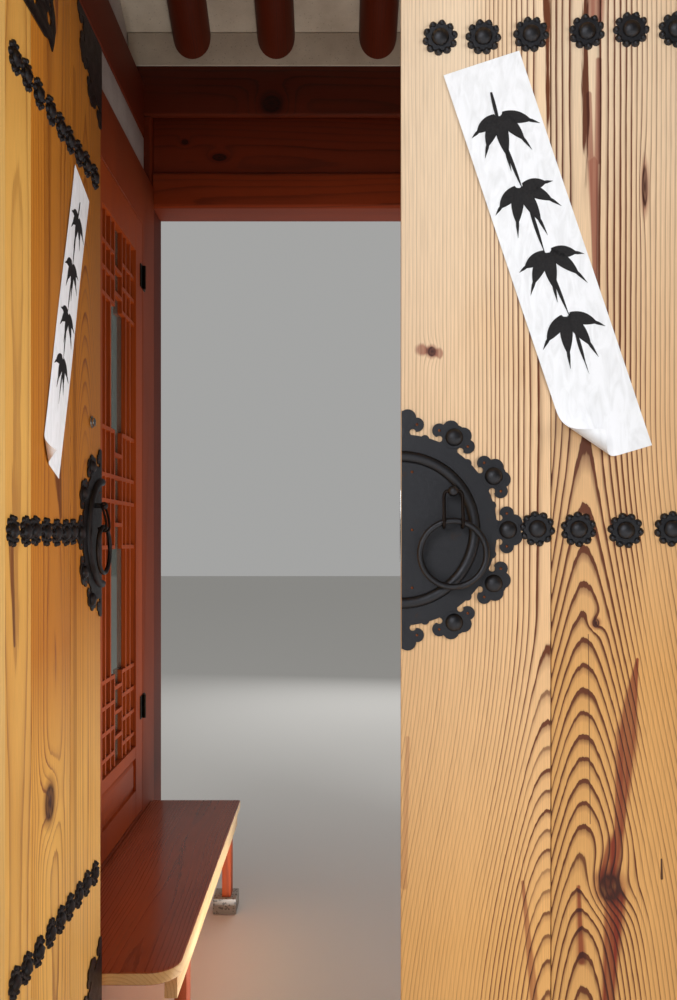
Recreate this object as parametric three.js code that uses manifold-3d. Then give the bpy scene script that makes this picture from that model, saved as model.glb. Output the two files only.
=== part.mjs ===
// The gate bay of a Korean tiled-roof house: a double plank gate on pivots, its posts and beams,
// the passage behind it with a lattice door pair and a bench, and a two-slope roof on round rafters.
// Millimetres. +X is to the right seen from the street, +Y leads into the passage, +Z is up.
// The origin is on the ground, in the middle of the bay, on the line where the two gate leaves meet.
import * as THREE from "three";
import { mergeVertices } from "three/addons/utils/BufferGeometryUtils.js";
import Module from "manifold-3d";

const wasm = await Module();
wasm.setup();

// Seat: the gap between pieces that touch.
const SEAT = 0.3;

// The bay and its timber frame
const POST = 180; // square posts
const PASSAGE_HALF = 780; // centre line to the posts' inner faces
const BAY_HALF_DEPTH = 1034; // middle of the bay to the posts' inner faces
const EDGE = 10; // chamfer along posts and beams
const PLINTH_TOP = 200;
const PLINTH_REVEAL = 20; // how far the stones stand out past the posts
const POST_TOP = 2880;
const LOWER_BEAM = [2540, 2675];
const MIDDLE_BOARD = [2675, 2880];
const MIDDLE_BOARD_SET_BACK = 12;
const PURLIN_TOP = 3070;
const PURLIN_DEPTH = 188;
const PURLIN_INNER = 1030;
const BEAM_SET_BACK = 20; // outer faces behind the posts' outer faces
const SIDE_BEAM = { bottom: 2800, top: 3010, setBack: 30, outer: 170 }; // across, from the posts' inner faces
// Half widths at foot and head; it stands this far behind the side beam's inner face.
const KING_POST = { foot: 190, head: 100, depth: 50, setBack: 6 };
const GABLE_WALL = 60;
const WALL_FACE = 774; // centre line to the face of the side walls' timber
const WALL_DEPTH = 150;
const PLASTER_SET_BACK = 14;
const TOP_PANEL_SET_BACK = 38; // plaster between the header rail and the side beam
const SILL_RAIL_TOP = 345;
const HEADER_RAIL = [2410, 2610];
const MIDDLE_RAIL = [1150, 1290];

// The gate frame and its leaves
const LEAF_THICKNESS = 40;
const LEAF_REACH = 617; // pivot to free edge
const PIVOT_X = 620;
const LEAF_FACE_Y = -1034; // outer face of a closed leaf
const LEAF_BOTTOM = 265;
const LEAF_TOP = 2355;
const STUD_ROW = 1310; // height of the middle row of studs, and of the rings' plates
const STUD_ROW_STEP = 735;
const LEFT_OPEN = 90; // degrees the left leaf stands open at rest
const RIGHT_OPEN = 3.5;
const JAMB_HALF = 568; // centre line to the jambs
const JAMB_WIDTH = 100;
const FRAME_DEPTH = 100;
const FRAME_GAP = 9; // a closed leaf's face to the frame's back
const THRESHOLD = [140, 277];
const SILL_STONE = { front: 30, back: 20 }; // past the threshold and the pivot blocks
const JAMB_FILLER = { lap: 5, setBack: 25 };
const TRANSOM_SET_BACK = 20;
const LINTEL = [2343, 2463];
const BATTEN = { height: 90, depth: 55, from: 40, to: 587 };
const PINTLE_RADIUS = 18;
const PINTLE_LENGTH = 55;
const PIVOT_RAIL = [2362, 2450];
const PIVOT_BLOCK_TOP = 258;
const PIVOT_BLOCK_DEPTH = 80;
const PIVOT_BLOCK = [545, 700]; // centre line to a block's two ends
const PIVOT_CLEARANCE = 2; // round the pintles

// The gate's ironwork, measured along the leaf from its free edge
const PLATE_THICKNESS = 3;
const PLATE_DISC = 141;
const BOSS_CIRCLE = 157;
const BOSS_RADIUS = 23;
const MOULDING = { radius: 108, width: 14, height: 7 };
const STUD_EYE = { along: 76, up: 56, out: 24, radius: 8 };
const EYE_HOLE = 3.6;
const LINK_WIRE = 2.5;
const LINK_HALF_WIDTH = 13.5;
const HOOK_DROP = 45; // stud eye to the middle of the hooks, where the ring turns
const RING_WIRE = 4.5;
const RING_RADIUS = 48;
const HOOK_RADIUS = 8.2;
const LOCK = { along: 76, up: 229, radius: 10, out: 7 };
const CORNER_PLATE_INSET = 12;
const STRAP = { from: 57, length: 300, height: 184, thickness: 2.5, shoulder: 65, cut: 18 };

// The lattice door pair in the left wall
const DOOR = { bottom: 350, top: 2404, width: 634, thickness: 36, stile: 96 };
const DOOR_REAR_EDGE = 827;
const DOOR_FRONT_JAMB = 110;
const DOOR_GAP = 5; // hinge stile to jamb
const MEETING_GAP = 8;
const LATTICE = { bottom: 592, top: 2282, bar: 12, depth: 14, back: 6 };
const BOTTOM_RAIL = 90;
const LOCK_RAIL = 40; // under the lattice
const DOOR_HINGE_X = -767;
const DOOR_HINGE_Y = 829.5;
const HINGE_HEIGHTS = [711, 2218];
const HINGE = { radius: 6, height: 81, plate: 34, thickness: 3, jambPlate: 3.5 };
const GLASS = 4;

// The bench along the left wall
const BENCH = { from: -340, to: 990, wall: -WALL_FACE + SEAT, front: -445, top: 335, board: 30, fascia: 62 };

// The roof
const ROOF_SLOPE = 26.5;
const RAFTER_RADIUS = 70;
const RAFTER_PLACES = [-1000, -626, -314, 63, 408, 754, 1100]; // middles along the ridge, as laid by hand
const RAFTER_REACH = 1700; // ridge line to the rafters' ends
const SOFFIT_REACH = 1720;
const TILE_REACH = 1780;
const RAFTER_HALF_SPAN = 1200; // half length of purlins and soffit
const TILE_HALF_SPAN = 1270;
const RIDGE_PURLIN = { halfDepth: 90, bottom: 3370 };
const SOFFIT_THICKNESS = 110;
const TILE_THICKNESS = 150;
const TILE_PITCH = 275; // one row of cover tiles to the next
const COVER_ROWS = 8;
// Half of one row across the slope, from a cover tile's crest to the middle of the trough beside it:
// places along the ridge, and depths under the crest line.
const TILE_ROW = [[0, 5], [30, 12], [54, 31], [70, 64], [72, 95], [105, 101], [137.5, 104]];
const GABLE_RIDGE = { width: 170, foot: 110 };
// Half of a gable ridge's section, from its side to its crest, measured from its middle and the crest line.
const GABLE_RIDGE_SECTION = [[85, 50], [66, 56], [58, 86], [34, 110], [0, 118]];
const MAIN_RIDGE = { halfDepth: 115, height: 250, halfLength: 1200 };
const MAIN_RIDGE_TOP = [[115, 78], [78, 70], [68, 34], [38, 8]]; // from the ridge line, and under its crest
const PURLIN_SEAT = { inset: 12, end: 20, lift: 1 }; // plaster between the rafters over a purlin
const BARGEBOARD = { thickness: 30, height: 270 };

const slope = Math.tan(THREE.MathUtils.degToRad(ROOF_SLOPE));
const rafterRise = RAFTER_RADIUS / Math.cos(THREE.MathUtils.degToRad(ROOF_SLOPE));
const POST_OUTER = PASSAGE_HALF + POST;
const BAY_OUTER = BAY_HALF_DEPTH + POST;
const LEAF_MIDDLE_Y = LEAF_FACE_Y + LEAF_THICKNESS / 2;
const FRAME_BACK = LEAF_FACE_Y - FRAME_GAP;

function finish(color, roughness, metalness = 0) {
  return () => new THREE.MeshStandardMaterial({ color, roughness, metalness });
}
const honeyPine = finish(0xdca765, 0.42);
const orangePine = finish(0xc98430, 0.42);
const redBrownTimber = finish(0x5a1e0c, 0.45);
const lacqueredTimber = finish(0xa03a08, 0.3);
const benchTimber = finish(0x6b3020, 0.18);
const palePine = finish(0xe6cfa6, 0.5);
const plaster = finish(0xb9afae, 0.95);
const granite = finish(0x9a9892, 0.85);
const blackIron = finish(0x2b2b2e, 0.38, 0.85);
const roofTile = finish(0x3d4144, 0.7);
const clearGlass = finish(0xb9c6c0, 0.05);
const chrome = finish(0xc8c8c8, 0.15, 1);

const root = new THREE.Group();

function toSolid(geometry) {
  const bare = geometry.clone();
  for (const key of Object.keys(bare.attributes)) {
    if (key !== "position") bare.deleteAttribute(key);
  }
  const merged = mergeVertices(bare, 1e-3);
  return new wasm.Manifold(
    new wasm.Mesh({
      numProp: 3,
      vertProperties: merged.attributes.position.array,
      triVerts: new Uint32Array(merged.index.array),
    }),
  );
}

function toGeometry(solid) {
  const mesh = solid.getMesh();
  const geometry = new THREE.BufferGeometry();
  geometry.setAttribute("position", new THREE.BufferAttribute(mesh.vertProperties, 3));
  geometry.setIndex(new THREE.BufferAttribute(mesh.triVerts, 1));
  return geometry;
}

function joined(geometries) {
  const solids = geometries.map(toSolid);
  return toGeometry(solids.slice(1).reduce((sum, solid) => sum.add(solid), solids[0]));
}

function cut(geometry, tools) {
  return toGeometry(tools.map(toSolid).reduce((left, tool) => left.subtract(tool), toSolid(geometry)));
}

function common(geometry, tool) {
  return toGeometry(toSolid(geometry).intersect(toSolid(tool)));
}

function add(parent, name, geometry, material) {
  const mesh = new THREE.Mesh(geometry, material());
  mesh.name = name;
  parent.add(mesh);
  return mesh;
}

// A block from its limits along each axis, given in any order.
function block(x, y, z) {
  const low = [x, y, z].map((pair) => Math.min(...pair));
  const high = [x, y, z].map((pair) => Math.max(...pair));
  const geometry = new THREE.BoxGeometry(2, 2, 2);
  const corners = geometry.attributes.position.array;
  for (let i = 0; i < corners.length; i += 1) {
    corners[i] = corners[i] > 0 ? high[i % 3] : low[i % 3];
  }
  return geometry;
}

function outline(points) {
  return new THREE.Shape(points.map(([a, b]) => new THREE.Vector2(a, b)));
}

// The outline carried from one height to another, with both ends exactly there.
function extrude(points, from, to) {
  const geometry = new THREE.ExtrudeGeometry(outline(points), { depth: 1, bevelEnabled: false });
  const { position } = geometry.attributes;
  for (let i = 0; i < position.count; i += 1) {
    position.setZ(i, position.getZ(i) > 0.5 ? to : from);
  }
  return geometry;
}

// Outlines of (y, z) points run along X, (x, z) points along Y, and (x, y) points along Z.
function alongX(points, from, to) {
  const basis = new THREE.Matrix4().makeBasis(
    new THREE.Vector3(0, 1, 0),
    new THREE.Vector3(0, 0, 1),
    new THREE.Vector3(1, 0, 0),
  );
  return extrude(points, from, to).applyMatrix4(basis);
}

function alongY(points, from, to) {
  const basis = new THREE.Matrix4().makeBasis(
    new THREE.Vector3(1, 0, 0),
    new THREE.Vector3(0, 0, 1),
    new THREE.Vector3(0, -1, 0),
  );
  return extrude(points, -to, -from).applyMatrix4(basis);
}

function alongZ(points, from, to) {
  return extrude(points, from, to);
}

function chamfered([a0, a1], [b0, b1], size = EDGE) {
  return [
    [a0 + size, b0],
    [a1 - size, b0],
    [a1, b0 + size],
    [a1, b1 - size],
    [a1 - size, b1],
    [a0 + size, b1],
    [a0, b1 - size],
    [a0, b0 + size],
  ];
}

function sorted(a, b) {
  return a < b ? [a, b] : [b, a];
}

const SIDES = [
  { name: "left", sign: -1 },
  { name: "right", sign: 1 },
];
const ENDS = [
  { name: "front", sign: -1 },
  { name: "rear", sign: 1 },
];

function buildStones() {
  for (const { name, sign } of SIDES) {
    add(
      root,
      `${name}_plinth_stone`,
      block(
        [sign * PASSAGE_HALF, sign * (POST_OUTER + PLINTH_REVEAL)],
        [-BAY_OUTER - PLINTH_REVEAL, BAY_OUTER + PLINTH_REVEAL],
        [0, PLINTH_TOP],
      ),
      granite,
    );
  }
  add(
    root,
    "front_sill_stone",
    block(
      [-PASSAGE_HALF + SEAT, PASSAGE_HALF - SEAT],
      [FRAME_BACK - FRAME_DEPTH - SILL_STONE.front, FRAME_BACK + PIVOT_BLOCK_DEPTH + SILL_STONE.back],
      [0, THRESHOLD[0]],
    ),
    granite,
  );
}

function buildPosts() {
  for (const side of SIDES) {
    for (const end of ENDS) {
      const x = sorted(side.sign * PASSAGE_HALF, side.sign * POST_OUTER);
      const y = sorted(end.sign * BAY_HALF_DEPTH, end.sign * BAY_OUTER);
      const geometry = alongZ(chamfered(x, y), PLINTH_TOP + SEAT, POST_TOP);
      add(root, `${end.name}_${side.name}_post`, geometry, redBrownTimber);
    }
  }
}

// Height of the rafters' undersides over a place |y| away from the ridge line.
function rafterUnderside(away) {
  return PURLIN_TOP + SEAT + (PURLIN_INNER - away) * slope;
}

function soffitUnderside(away) {
  return rafterUnderside(away) + rafterRise + 10;
}

function soffitTop(away) {
  return soffitUnderside(away) + SOFFIT_THICKNESS;
}

// The tiled surface sags a little between the ridge and the eaves.
function tileTop(away) {
  const fromRidge = 1 - away / TILE_REACH;
  return soffitTop(away) + TILE_THICKNESS + 90 * fromRidge * fromRidge;
}

function buildBeams() {
  for (const { name, sign } of ENDS) {
    const length = PASSAGE_HALF - SEAT;
    const lowerDepth = sorted(sign * BAY_HALF_DEPTH, sign * (BAY_OUTER - BEAM_SET_BACK));
    const boardDepth = sorted(
      sign * (BAY_HALF_DEPTH + MIDDLE_BOARD_SET_BACK),
      sign * (BAY_OUTER - BEAM_SET_BACK - MIDDLE_BOARD_SET_BACK),
    );
    const lower = chamfered(lowerDepth, LOWER_BEAM);
    add(root, `${name}_lower_beam`, alongX(lower, -length, length), redBrownTimber);
    const board = block([-length, length], boardDepth, [MIDDLE_BOARD[0] + SEAT, MIDDLE_BOARD[1]]);
    add(root, `${name}_middle_board`, board, redBrownTimber);
    const inner = PURLIN_INNER;
    const outer = PURLIN_INNER + PURLIN_DEPTH;
    const low = POST_TOP + SEAT;
    const purlin = [
      [sign * (inner + EDGE), low],
      [sign * (outer - EDGE), low],
      [sign * outer, low + EDGE],
      [sign * outer, PURLIN_TOP - PURLIN_DEPTH * slope],
      [sign * inner, PURLIN_TOP],
      [sign * inner, low + EDGE],
    ];
    add(root, `${name}_purlin`, alongX(purlin, -RAFTER_HALF_SPAN, RAFTER_HALF_SPAN), redBrownTimber);
  }
  const half = RIDGE_PURLIN.halfDepth;
  const ridge = [
    [-half, RIDGE_PURLIN.bottom],
    [half, RIDGE_PURLIN.bottom],
    [half, rafterUnderside(half) - SEAT],
    [0, rafterUnderside(0) - SEAT],
    [-half, rafterUnderside(half) - SEAT],
  ];
  add(root, "ridge_purlin", alongX(ridge, -RAFTER_HALF_SPAN, RAFTER_HALF_SPAN), redBrownTimber);
}

function buildSideBeams() {
  for (const { name, sign } of SIDES) {
    const inner = PASSAGE_HALF + SIDE_BEAM.setBack;
    const outer = PASSAGE_HALF + SIDE_BEAM.outer;
    const beam = chamfered(sorted(sign * inner, sign * outer), [SIDE_BEAM.bottom, SIDE_BEAM.top]);
    const reach = PURLIN_INNER - SEAT;
    add(root, `${name}_side_beam`, alongY(beam, -reach, reach), redBrownTimber);

    const kingPost = [
      [-KING_POST.foot, SIDE_BEAM.top + SEAT],
      [KING_POST.foot, SIDE_BEAM.top + SEAT],
      [KING_POST.head, RIDGE_PURLIN.bottom - SEAT],
      [-KING_POST.head, RIDGE_PURLIN.bottom - SEAT],
    ];
    const kingInner = inner + KING_POST.setBack;
    const kingX = sorted(sign * kingInner, sign * (kingInner + KING_POST.depth));
    add(root, `${name}_king_post`, alongX(kingPost, ...kingX), redBrownTimber);

    const high = RIDGE_PURLIN.bottom - SEAT;
    const half = RIDGE_PURLIN.halfDepth + SEAT;
    const edge = reach;
    const gable = [
      [-edge, SIDE_BEAM.top + SEAT],
      [edge, SIDE_BEAM.top + SEAT],
      [edge, soffitUnderside(edge) - SEAT],
      [half, soffitUnderside(half) - SEAT],
      [half, high],
      [-half, high],
      [-half, soffitUnderside(half) - SEAT],
      [-edge, soffitUnderside(edge) - SEAT],
    ];
    const gableInner = kingInner + KING_POST.depth + SEAT;
    const gableX = sorted(sign * gableInner, sign * (gableInner + GABLE_WALL));
    add(root, `${name}_gable_wall`, alongX(gable, ...gableX), plaster);
  }
}

function buildGateFrame() {
  const y = [FRAME_BACK - FRAME_DEPTH, FRAME_BACK];
  const inner = PASSAGE_HALF - SEAT;
  add(root, "threshold", alongX(chamfered(y, THRESHOLD), -inner, inner).translate(0, 0, SEAT), honeyPine);
  add(root, "gate_lintel", alongX(chamfered(y, LINTEL), -inner, inner), palePine);
  for (const { name, sign } of SIDES) {
    const low = THRESHOLD[1] + 2 * SEAT;
    const high = LINTEL[0] - SEAT;
    const jamb = block([sign * JAMB_HALF, sign * (JAMB_HALF + JAMB_WIDTH)], y, [low, high]);
    const filler = block(
      [sign * (JAMB_HALF + JAMB_WIDTH - JAMB_FILLER.lap), sign * inner],
      [y[0] + JAMB_FILLER.setBack, y[1] - JAMB_FILLER.setBack],
      [low, high],
    );
    add(root, `${name}_jamb`, joined([jamb, filler]), palePine);
  }
  const transom = block(
    [-inner, inner],
    [y[0] + TRANSOM_SET_BACK, y[1] - TRANSOM_SET_BACK],
    [LINTEL[1] + SEAT, LOWER_BEAM[0] - SEAT],
  );
  add(root, "transom_wall", transom, plaster);
}

function pivotHole(x, z0, z1) {
  const radius = PINTLE_RADIUS + PIVOT_CLEARANCE;
  const hole = new THREE.CylinderGeometry(radius, radius, z1 - z0, 24);
  return hole.rotateX(Math.PI / 2).translate(x, LEAF_MIDDLE_Y, (z0 + z1) / 2);
}

function buildPivotBlocks() {
  const y = [FRAME_BACK + SEAT, FRAME_BACK + SEAT + PIVOT_BLOCK_DEPTH];
  const rail = block([-PIVOT_BLOCK[1], PIVOT_BLOCK[1]], y, PIVOT_RAIL);
  const holes = SIDES.map(({ sign }) => pivotHole(sign * PIVOT_X, PIVOT_RAIL[0] - 1, PIVOT_RAIL[1] + 1));
  add(root, "upper_pivot_rail", cut(rail, holes), orangePine);
  for (const { name, sign } of SIDES) {
    const bottom = THRESHOLD[0] + SEAT;
    const socketFloor = LEAF_BOTTOM - PINTLE_LENGTH - SEAT;
    const base = block(PIVOT_BLOCK.map((x) => sign * x), y, [bottom, PIVOT_BLOCK_TOP]);
    const socket = pivotHole(sign * PIVOT_X, socketFloor, PIVOT_BLOCK_TOP + 1);
    add(root, `${name}_pivot_block`, cut(base, [socket]), orangePine);
  }
}

function disc(x, z, radius, y0, y1, sides = 24) {
  const geometry = new THREE.CylinderGeometry(radius, radius, y1 - y0, sides);
  return geometry.translate(x, (y0 + y1) / 2, z);
}

// A disc with a boss at every 30 degrees, as sheet iron between the depths y0 and y1.
function lobedDisc(x, z, y0, y1) {
  const parts = [disc(x, z, PLATE_DISC, y0, y1, 48)];
  for (let step = 0; step < 12; step += 1) {
    const angle = (step * Math.PI) / 6;
    const bossX = x + BOSS_CIRCLE * Math.cos(angle);
    const bossZ = z + BOSS_CIRCLE * Math.sin(angle);
    parts.push(disc(bossX, bossZ, BOSS_RADIUS, y0, y1, 16));
  }
  return joined(parts);
}

// The lobed plate at one leaf's free edge. direction is +1 where the leaf reaches from its pivot to +X.
function ringPlate(direction, face) {
  const centre = direction * LEAF_REACH;
  const edge = direction * (LEAF_REACH - 1.5);
  const outer = face - PLATE_THICKNESS;
  const window = block([edge, edge - direction * 220], [face - 60, face + 1], [STUD_ROW - 220, STUD_ROW + 220]);
  const half = common(lobedDisc(centre, STUD_ROW, outer, face - SEAT), window);
  const ring = new THREE.LatheGeometry(
    [
      new THREE.Vector2(MOULDING.radius - MOULDING.width / 2, PLATE_THICKNESS - 1),
      new THREE.Vector2(MOULDING.radius + MOULDING.width / 2, PLATE_THICKNESS - 1),
      new THREE.Vector2(MOULDING.radius + MOULDING.width / 3, PLATE_THICKNESS + MOULDING.height * 0.8),
      new THREE.Vector2(MOULDING.radius, PLATE_THICKNESS + MOULDING.height),
      new THREE.Vector2(MOULDING.radius - MOULDING.width / 3, PLATE_THICKNESS + MOULDING.height * 0.8),
      new THREE.Vector2(MOULDING.radius - MOULDING.width / 2, PLATE_THICKNESS - 1),
    ],
    48,
  );
  ring.rotateX(Math.PI).rotateY(0.05).translate(centre, face, STUD_ROW);
  const moulding = common(ring, window);
  const eyeX = direction * (LEAF_REACH - STUD_EYE.along);
  const eyeZ = STUD_ROW + STUD_EYE.up;
  const eyeY = outer - STUD_EYE.out;
  // The small turns keep the facets of neck, ball and hole from meeting edge on edge.
  const neck = new THREE.CylinderGeometry(5, 5, STUD_EYE.out + 1, 10);
  neck.rotateY(0.1).translate(eyeX, (eyeY + outer + 1) / 2, eyeZ);
  const ball = new THREE.SphereGeometry(STUD_EYE.radius, 12, 8);
  ball.rotateY(0.17).translate(eyeX, eyeY, eyeZ);
  const hole = new THREE.CylinderGeometry(EYE_HOLE, EYE_HOLE, 3 * STUD_EYE.radius, 10);
  hole.rotateX(0.11).rotateZ(Math.PI / 2).translate(eyeX, eyeY, eyeZ);
  return cut(joined([half, moulding, neck, ball]), [hole]);
}

// The leaf's corner plates: quarter discs at the free edge and straps at the pivot edge.
function cornerPlates(direction, face) {
  const outer = face - STRAP.thickness;
  const inner = face + 2;
  const centre = direction * LEAF_REACH;
  const low = LEAF_BOTTOM + 2;
  const high = LEAF_TOP - 2;
  const window = block(
    [direction * (LEAF_REACH - 1.5), direction * (LEAF_REACH - CORNER_PLATE_INSET - 175)],
    [outer - 1, inner + 1],
    [low, high],
  );
  const heights = [LEAF_BOTTOM, LEAF_TOP];
  const quarters = heights.map((z) => common(lobedDisc(centre, z, outer, inner), window));
  const start = direction * STRAP.from;
  const straps = [1, -1].map((up) => {
    const from = up > 0 ? high : low;
    const z = (drop) => from - up * drop;
    const points = [
      [start, z(0)],
      [direction * (STRAP.length - STRAP.shoulder), z(0)],
      [direction * (STRAP.length - STRAP.cut), z(STRAP.height * 0.38)],
      [direction * STRAP.length, z(STRAP.height * 0.76)],
      [direction * (STRAP.length - STRAP.cut), z(STRAP.height)],
      [start, z(STRAP.height)],
    ];
    return alongY(points, outer, inner);
  });
  return [...quarters, ...straps];
}

function leafBody(direction) {
  const face = -LEAF_THICKNESS / 2;
  const reach = direction * LEAF_REACH;
  const boards = block([0, reach], [face, -face], [LEAF_BOTTOM, LEAF_TOP]);
  const stile = new THREE.CylinderGeometry(-face, -face, LEAF_TOP - LEAF_BOTTOM, 24);
  stile.rotateX(Math.PI / 2).translate(0, 0, (LEAF_TOP + LEAF_BOTTOM) / 2);
  const pintleLow = LEAF_BOTTOM - PINTLE_LENGTH;
  const pintleHigh = PIVOT_RAIL[1] - 10;
  const pintle = new THREE.CylinderGeometry(PINTLE_RADIUS, PINTLE_RADIUS, pintleHigh - pintleLow, 24);
  pintle.rotateX(Math.PI / 2).translate(0, 0, (pintleHigh + pintleLow) / 2);
  const battens = [-1, 0, 1].map((row) => {
    const middle = STUD_ROW + row * STUD_ROW_STEP;
    return block(
      [direction * BATTEN.from, direction * BATTEN.to],
      [-face - 2, -face + BATTEN.depth],
      [middle - BATTEN.height / 2, middle + BATTEN.height / 2],
    );
  });
  return joined([boards, stile, pintle, ...battens, ...cornerPlates(direction, face)]);
}

function tube(points, radius, steps) {
  const curve = new THREE.CatmullRomCurve3(points);
  const sides = 8;
  const section = [];
  for (let i = 0; i < sides; i += 1) {
    const angle = (i * 2 * Math.PI) / sides;
    section.push([radius * Math.cos(angle), radius * Math.sin(angle)]);
  }
  return new THREE.ExtrudeGeometry(outline(section), { steps, extrudePath: curve, bevelEnabled: false });
}

// The link: a wire through the stud's eye, with an arm each side that hooks round the ring.
function linkGeometry(eyeX, eyeY, eyeZ) {
  const w = LINK_HALF_WIDTH;
  const hook = [];
  for (let degrees = 0; degrees <= 180; degrees += 30) {
    const angle = THREE.MathUtils.degToRad(degrees);
    hook.push([-HOOK_RADIUS * Math.cos(angle), -HOOK_DROP - HOOK_RADIUS * Math.sin(angle)]);
  }
  const side = [[0, -5], [-HOOK_RADIUS * 0.5, -18], [-HOOK_RADIUS * 0.9, -31], ...hook];
  const arm = (x) => side.map(([y, z]) => [x, y, z]);
  const top = [-w + 3, -STUD_EYE.radius + 2, STUD_EYE.radius - 2, w - 3].map((x) => [x, 0, 0]);
  const wire = [...arm(-w).reverse(), ...top, ...arm(w)];
  const points = wire.map(([x, y, z]) => new THREE.Vector3(eyeX + x, eyeY + y, eyeZ + z));
  return tube(points, LINK_WIRE, 64);
}

// A ring in the leaf's plane, hanging in the link's hooks.
function ringGeometry(eyeX, eyeY, eyeZ) {
  const torus = new THREE.TorusGeometry(RING_RADIUS, RING_WIRE, 10, 40);
  const hung = Math.sqrt(RING_RADIUS ** 2 - LINK_HALF_WIDTH ** 2);
  return torus.rotateX(Math.PI / 2).translate(eyeX, eyeY, eyeZ - HOOK_DROP - hung);
}

function buildLeaf(side, openDegrees) {
  const direction = -side.sign;
  const face = -LEAF_THICKNESS / 2;
  const pivot = new THREE.Group();
  pivot.position.set(side.sign * PIVOT_X, LEAF_MIDDLE_Y, 0);
  pivot.rotation.z = THREE.MathUtils.degToRad(direction * openDegrees);
  root.add(pivot);
  const wood = side.sign < 0 ? orangePine : honeyPine;
  add(pivot, `${side.name}_leaf`, leafBody(direction), wood);
  add(pivot, `${side.name}_ring_plate`, ringPlate(direction, face), blackIron);

  const eyeX = direction * (LEAF_REACH - STUD_EYE.along);
  const eyeY = face - PLATE_THICKNESS - STUD_EYE.out;
  const eyeZ = STUD_ROW + STUD_EYE.up;
  add(pivot, `${side.name}_ring_link`, linkGeometry(eyeX, eyeY, eyeZ), blackIron);
  add(pivot, `${side.name}_pull_ring`, ringGeometry(eyeX, eyeY, eyeZ), blackIron);
  if (side.sign < 0) {
    const lockX = direction * (LEAF_REACH - LOCK.along);
    const lockZ = STUD_ROW + LOCK.up;
    const body = disc(lockX, lockZ, LOCK.radius, face - LOCK.out, face - SEAT, 24);
    add(pivot, "lock_cylinder", body, chrome);
  }
}

// Centre lines of the lattice's bars, from the leaf's middle across and from its own heights up.
function latticeBars() {
  const half = (DOOR.width - 2 * DOOR.stile) / 2;
  const { bottom, top } = LATTICE;
  const light = { wide: 100, narrow: 50, outer: 160 };
  const steps = [
    { low: 872, high: 1273 },
    { low: 1632, high: 2028 },
  ];
  const step = 78;
  const upright = (x, z0, z1) => ({ x: [x, x], z: [z0, z1] });
  const level = (x0, x1, z) => ({ x: [x0, x1], z: [z, z] });
  const bars = [];
  for (const sign of [-1, 1]) {
    bars.push(upright(sign * light.outer, bottom, top));
    bars.push(upright(sign * light.wide, bottom, top));
    const narrow = sign * light.narrow;
    bars.push(upright(narrow, bottom, steps[0].low));
    bars.push(upright(narrow, steps[0].high, steps[1].low));
    bars.push(upright(narrow, steps[1].high, top));
    for (const { low, high } of steps) {
      bars.push(level(narrow, sign * half, low));
      bars.push(level(narrow, sign * half, high));
    }
    for (const z of [1414, 1491]) bars.push(level(0, sign * half, z));
    for (let z = steps[0].low - step; z > bottom + 30; z -= step) {
      bars.push(level(narrow, sign * half, z));
    }
    for (let z = steps[1].high + step; z < top - 30; z += step) {
      bars.push(level(narrow, sign * half, z));
    }
  }
  for (const z of [steps[0].low - 1.5 * step, steps[0].low - 2.5 * step]) {
    bars.push(level(-light.narrow, light.narrow, z));
  }
  bars.push(level(-light.narrow, light.narrow, steps[0].low - step * 0.5));
  bars.push(level(-light.narrow, light.narrow, steps[1].high + step * 0.5));
  bars.push(level(-light.narrow, light.narrow, steps[1].high + 1.5 * step));
  bars.push(level(-light.narrow, light.narrow, steps[0].high + 70));
  bars.push(level(-light.narrow, light.narrow, steps[1].low - 70));
  return bars;
}

// A door leaf in the left wall, between the places y0 and y1: stiles, rails, lattice and bottom panel.
function latticeLeaf(y0, y1) {
  const face = -WALL_FACE;
  const x = [face - DOOR.thickness, face];
  const middle = (y0 + y1) / 2;
  const rails = [
    [LATTICE.top, DOOR.top - 0.5],
    [DOOR.bottom + 0.5, DOOR.bottom + BOTTOM_RAIL],
    [LATTICE.bottom - LOCK_RAIL, LATTICE.bottom],
  ];
  const parts = [
    block(x, [y0, y0 + DOOR.stile], [DOOR.bottom, DOOR.top]),
    block(x, [y1 - DOOR.stile, y1], [DOOR.bottom, DOOR.top]),
    ...rails.map((z) => block([x[0] + 0.5, x[1] - 0.5], [y0 + DOOR.stile - 9, y1 - DOOR.stile + 9], z)),
    block(
      [face - 10, face - 26],
      [y0 + DOOR.stile - 2, y1 - DOOR.stile + 2],
      [DOOR.bottom + BOTTOM_RAIL - 2, LATTICE.bottom - LOCK_RAIL + 2],
    ),
  ];
  const barX = [face - LATTICE.back, face - LATTICE.back - LATTICE.depth];
  const half = LATTICE.bar / 2;
  for (const bar of latticeBars()) {
    const across = [Math.min(...bar.x) - half, Math.max(...bar.x) + half];
    const up = [Math.min(...bar.z) - half, Math.max(...bar.z) + half];
    parts.push(block(barX, across.map((value) => middle + value), up));
  }
  return parts;
}

// Each hinge has its knuckle and one plate on the door, and the other plate on the jamb.
function hingesOnDoor() {
  const half = HINGE.height / 2;
  return HINGE_HEIGHTS.flatMap((z) => {
    const knuckle = new THREE.CylinderGeometry(HINGE.radius, HINGE.radius, HINGE.height, 12);
    knuckle.rotateX(Math.PI / 2).translate(DOOR_HINGE_X, DOOR_HINGE_Y, z);
    const plate = block(
      [-WALL_FACE - 1, -WALL_FACE + HINGE.thickness],
      [DOOR_REAR_EDGE - HINGE.plate, DOOR_REAR_EDGE],
      [z - half + 1, z + half - 1],
    );
    return [knuckle, plate];
  });
}

function hingePlatesOnJamb() {
  const half = HINGE.height / 2;
  const start = DOOR_HINGE_Y + HINGE.radius - 0.7;
  return HINGE_HEIGHTS.map((z) =>
    block([-WALL_FACE - 1, -WALL_FACE + HINGE.jambPlate], [start, start + HINGE.plate], [z - half, z + half]),
  );
}

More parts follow.
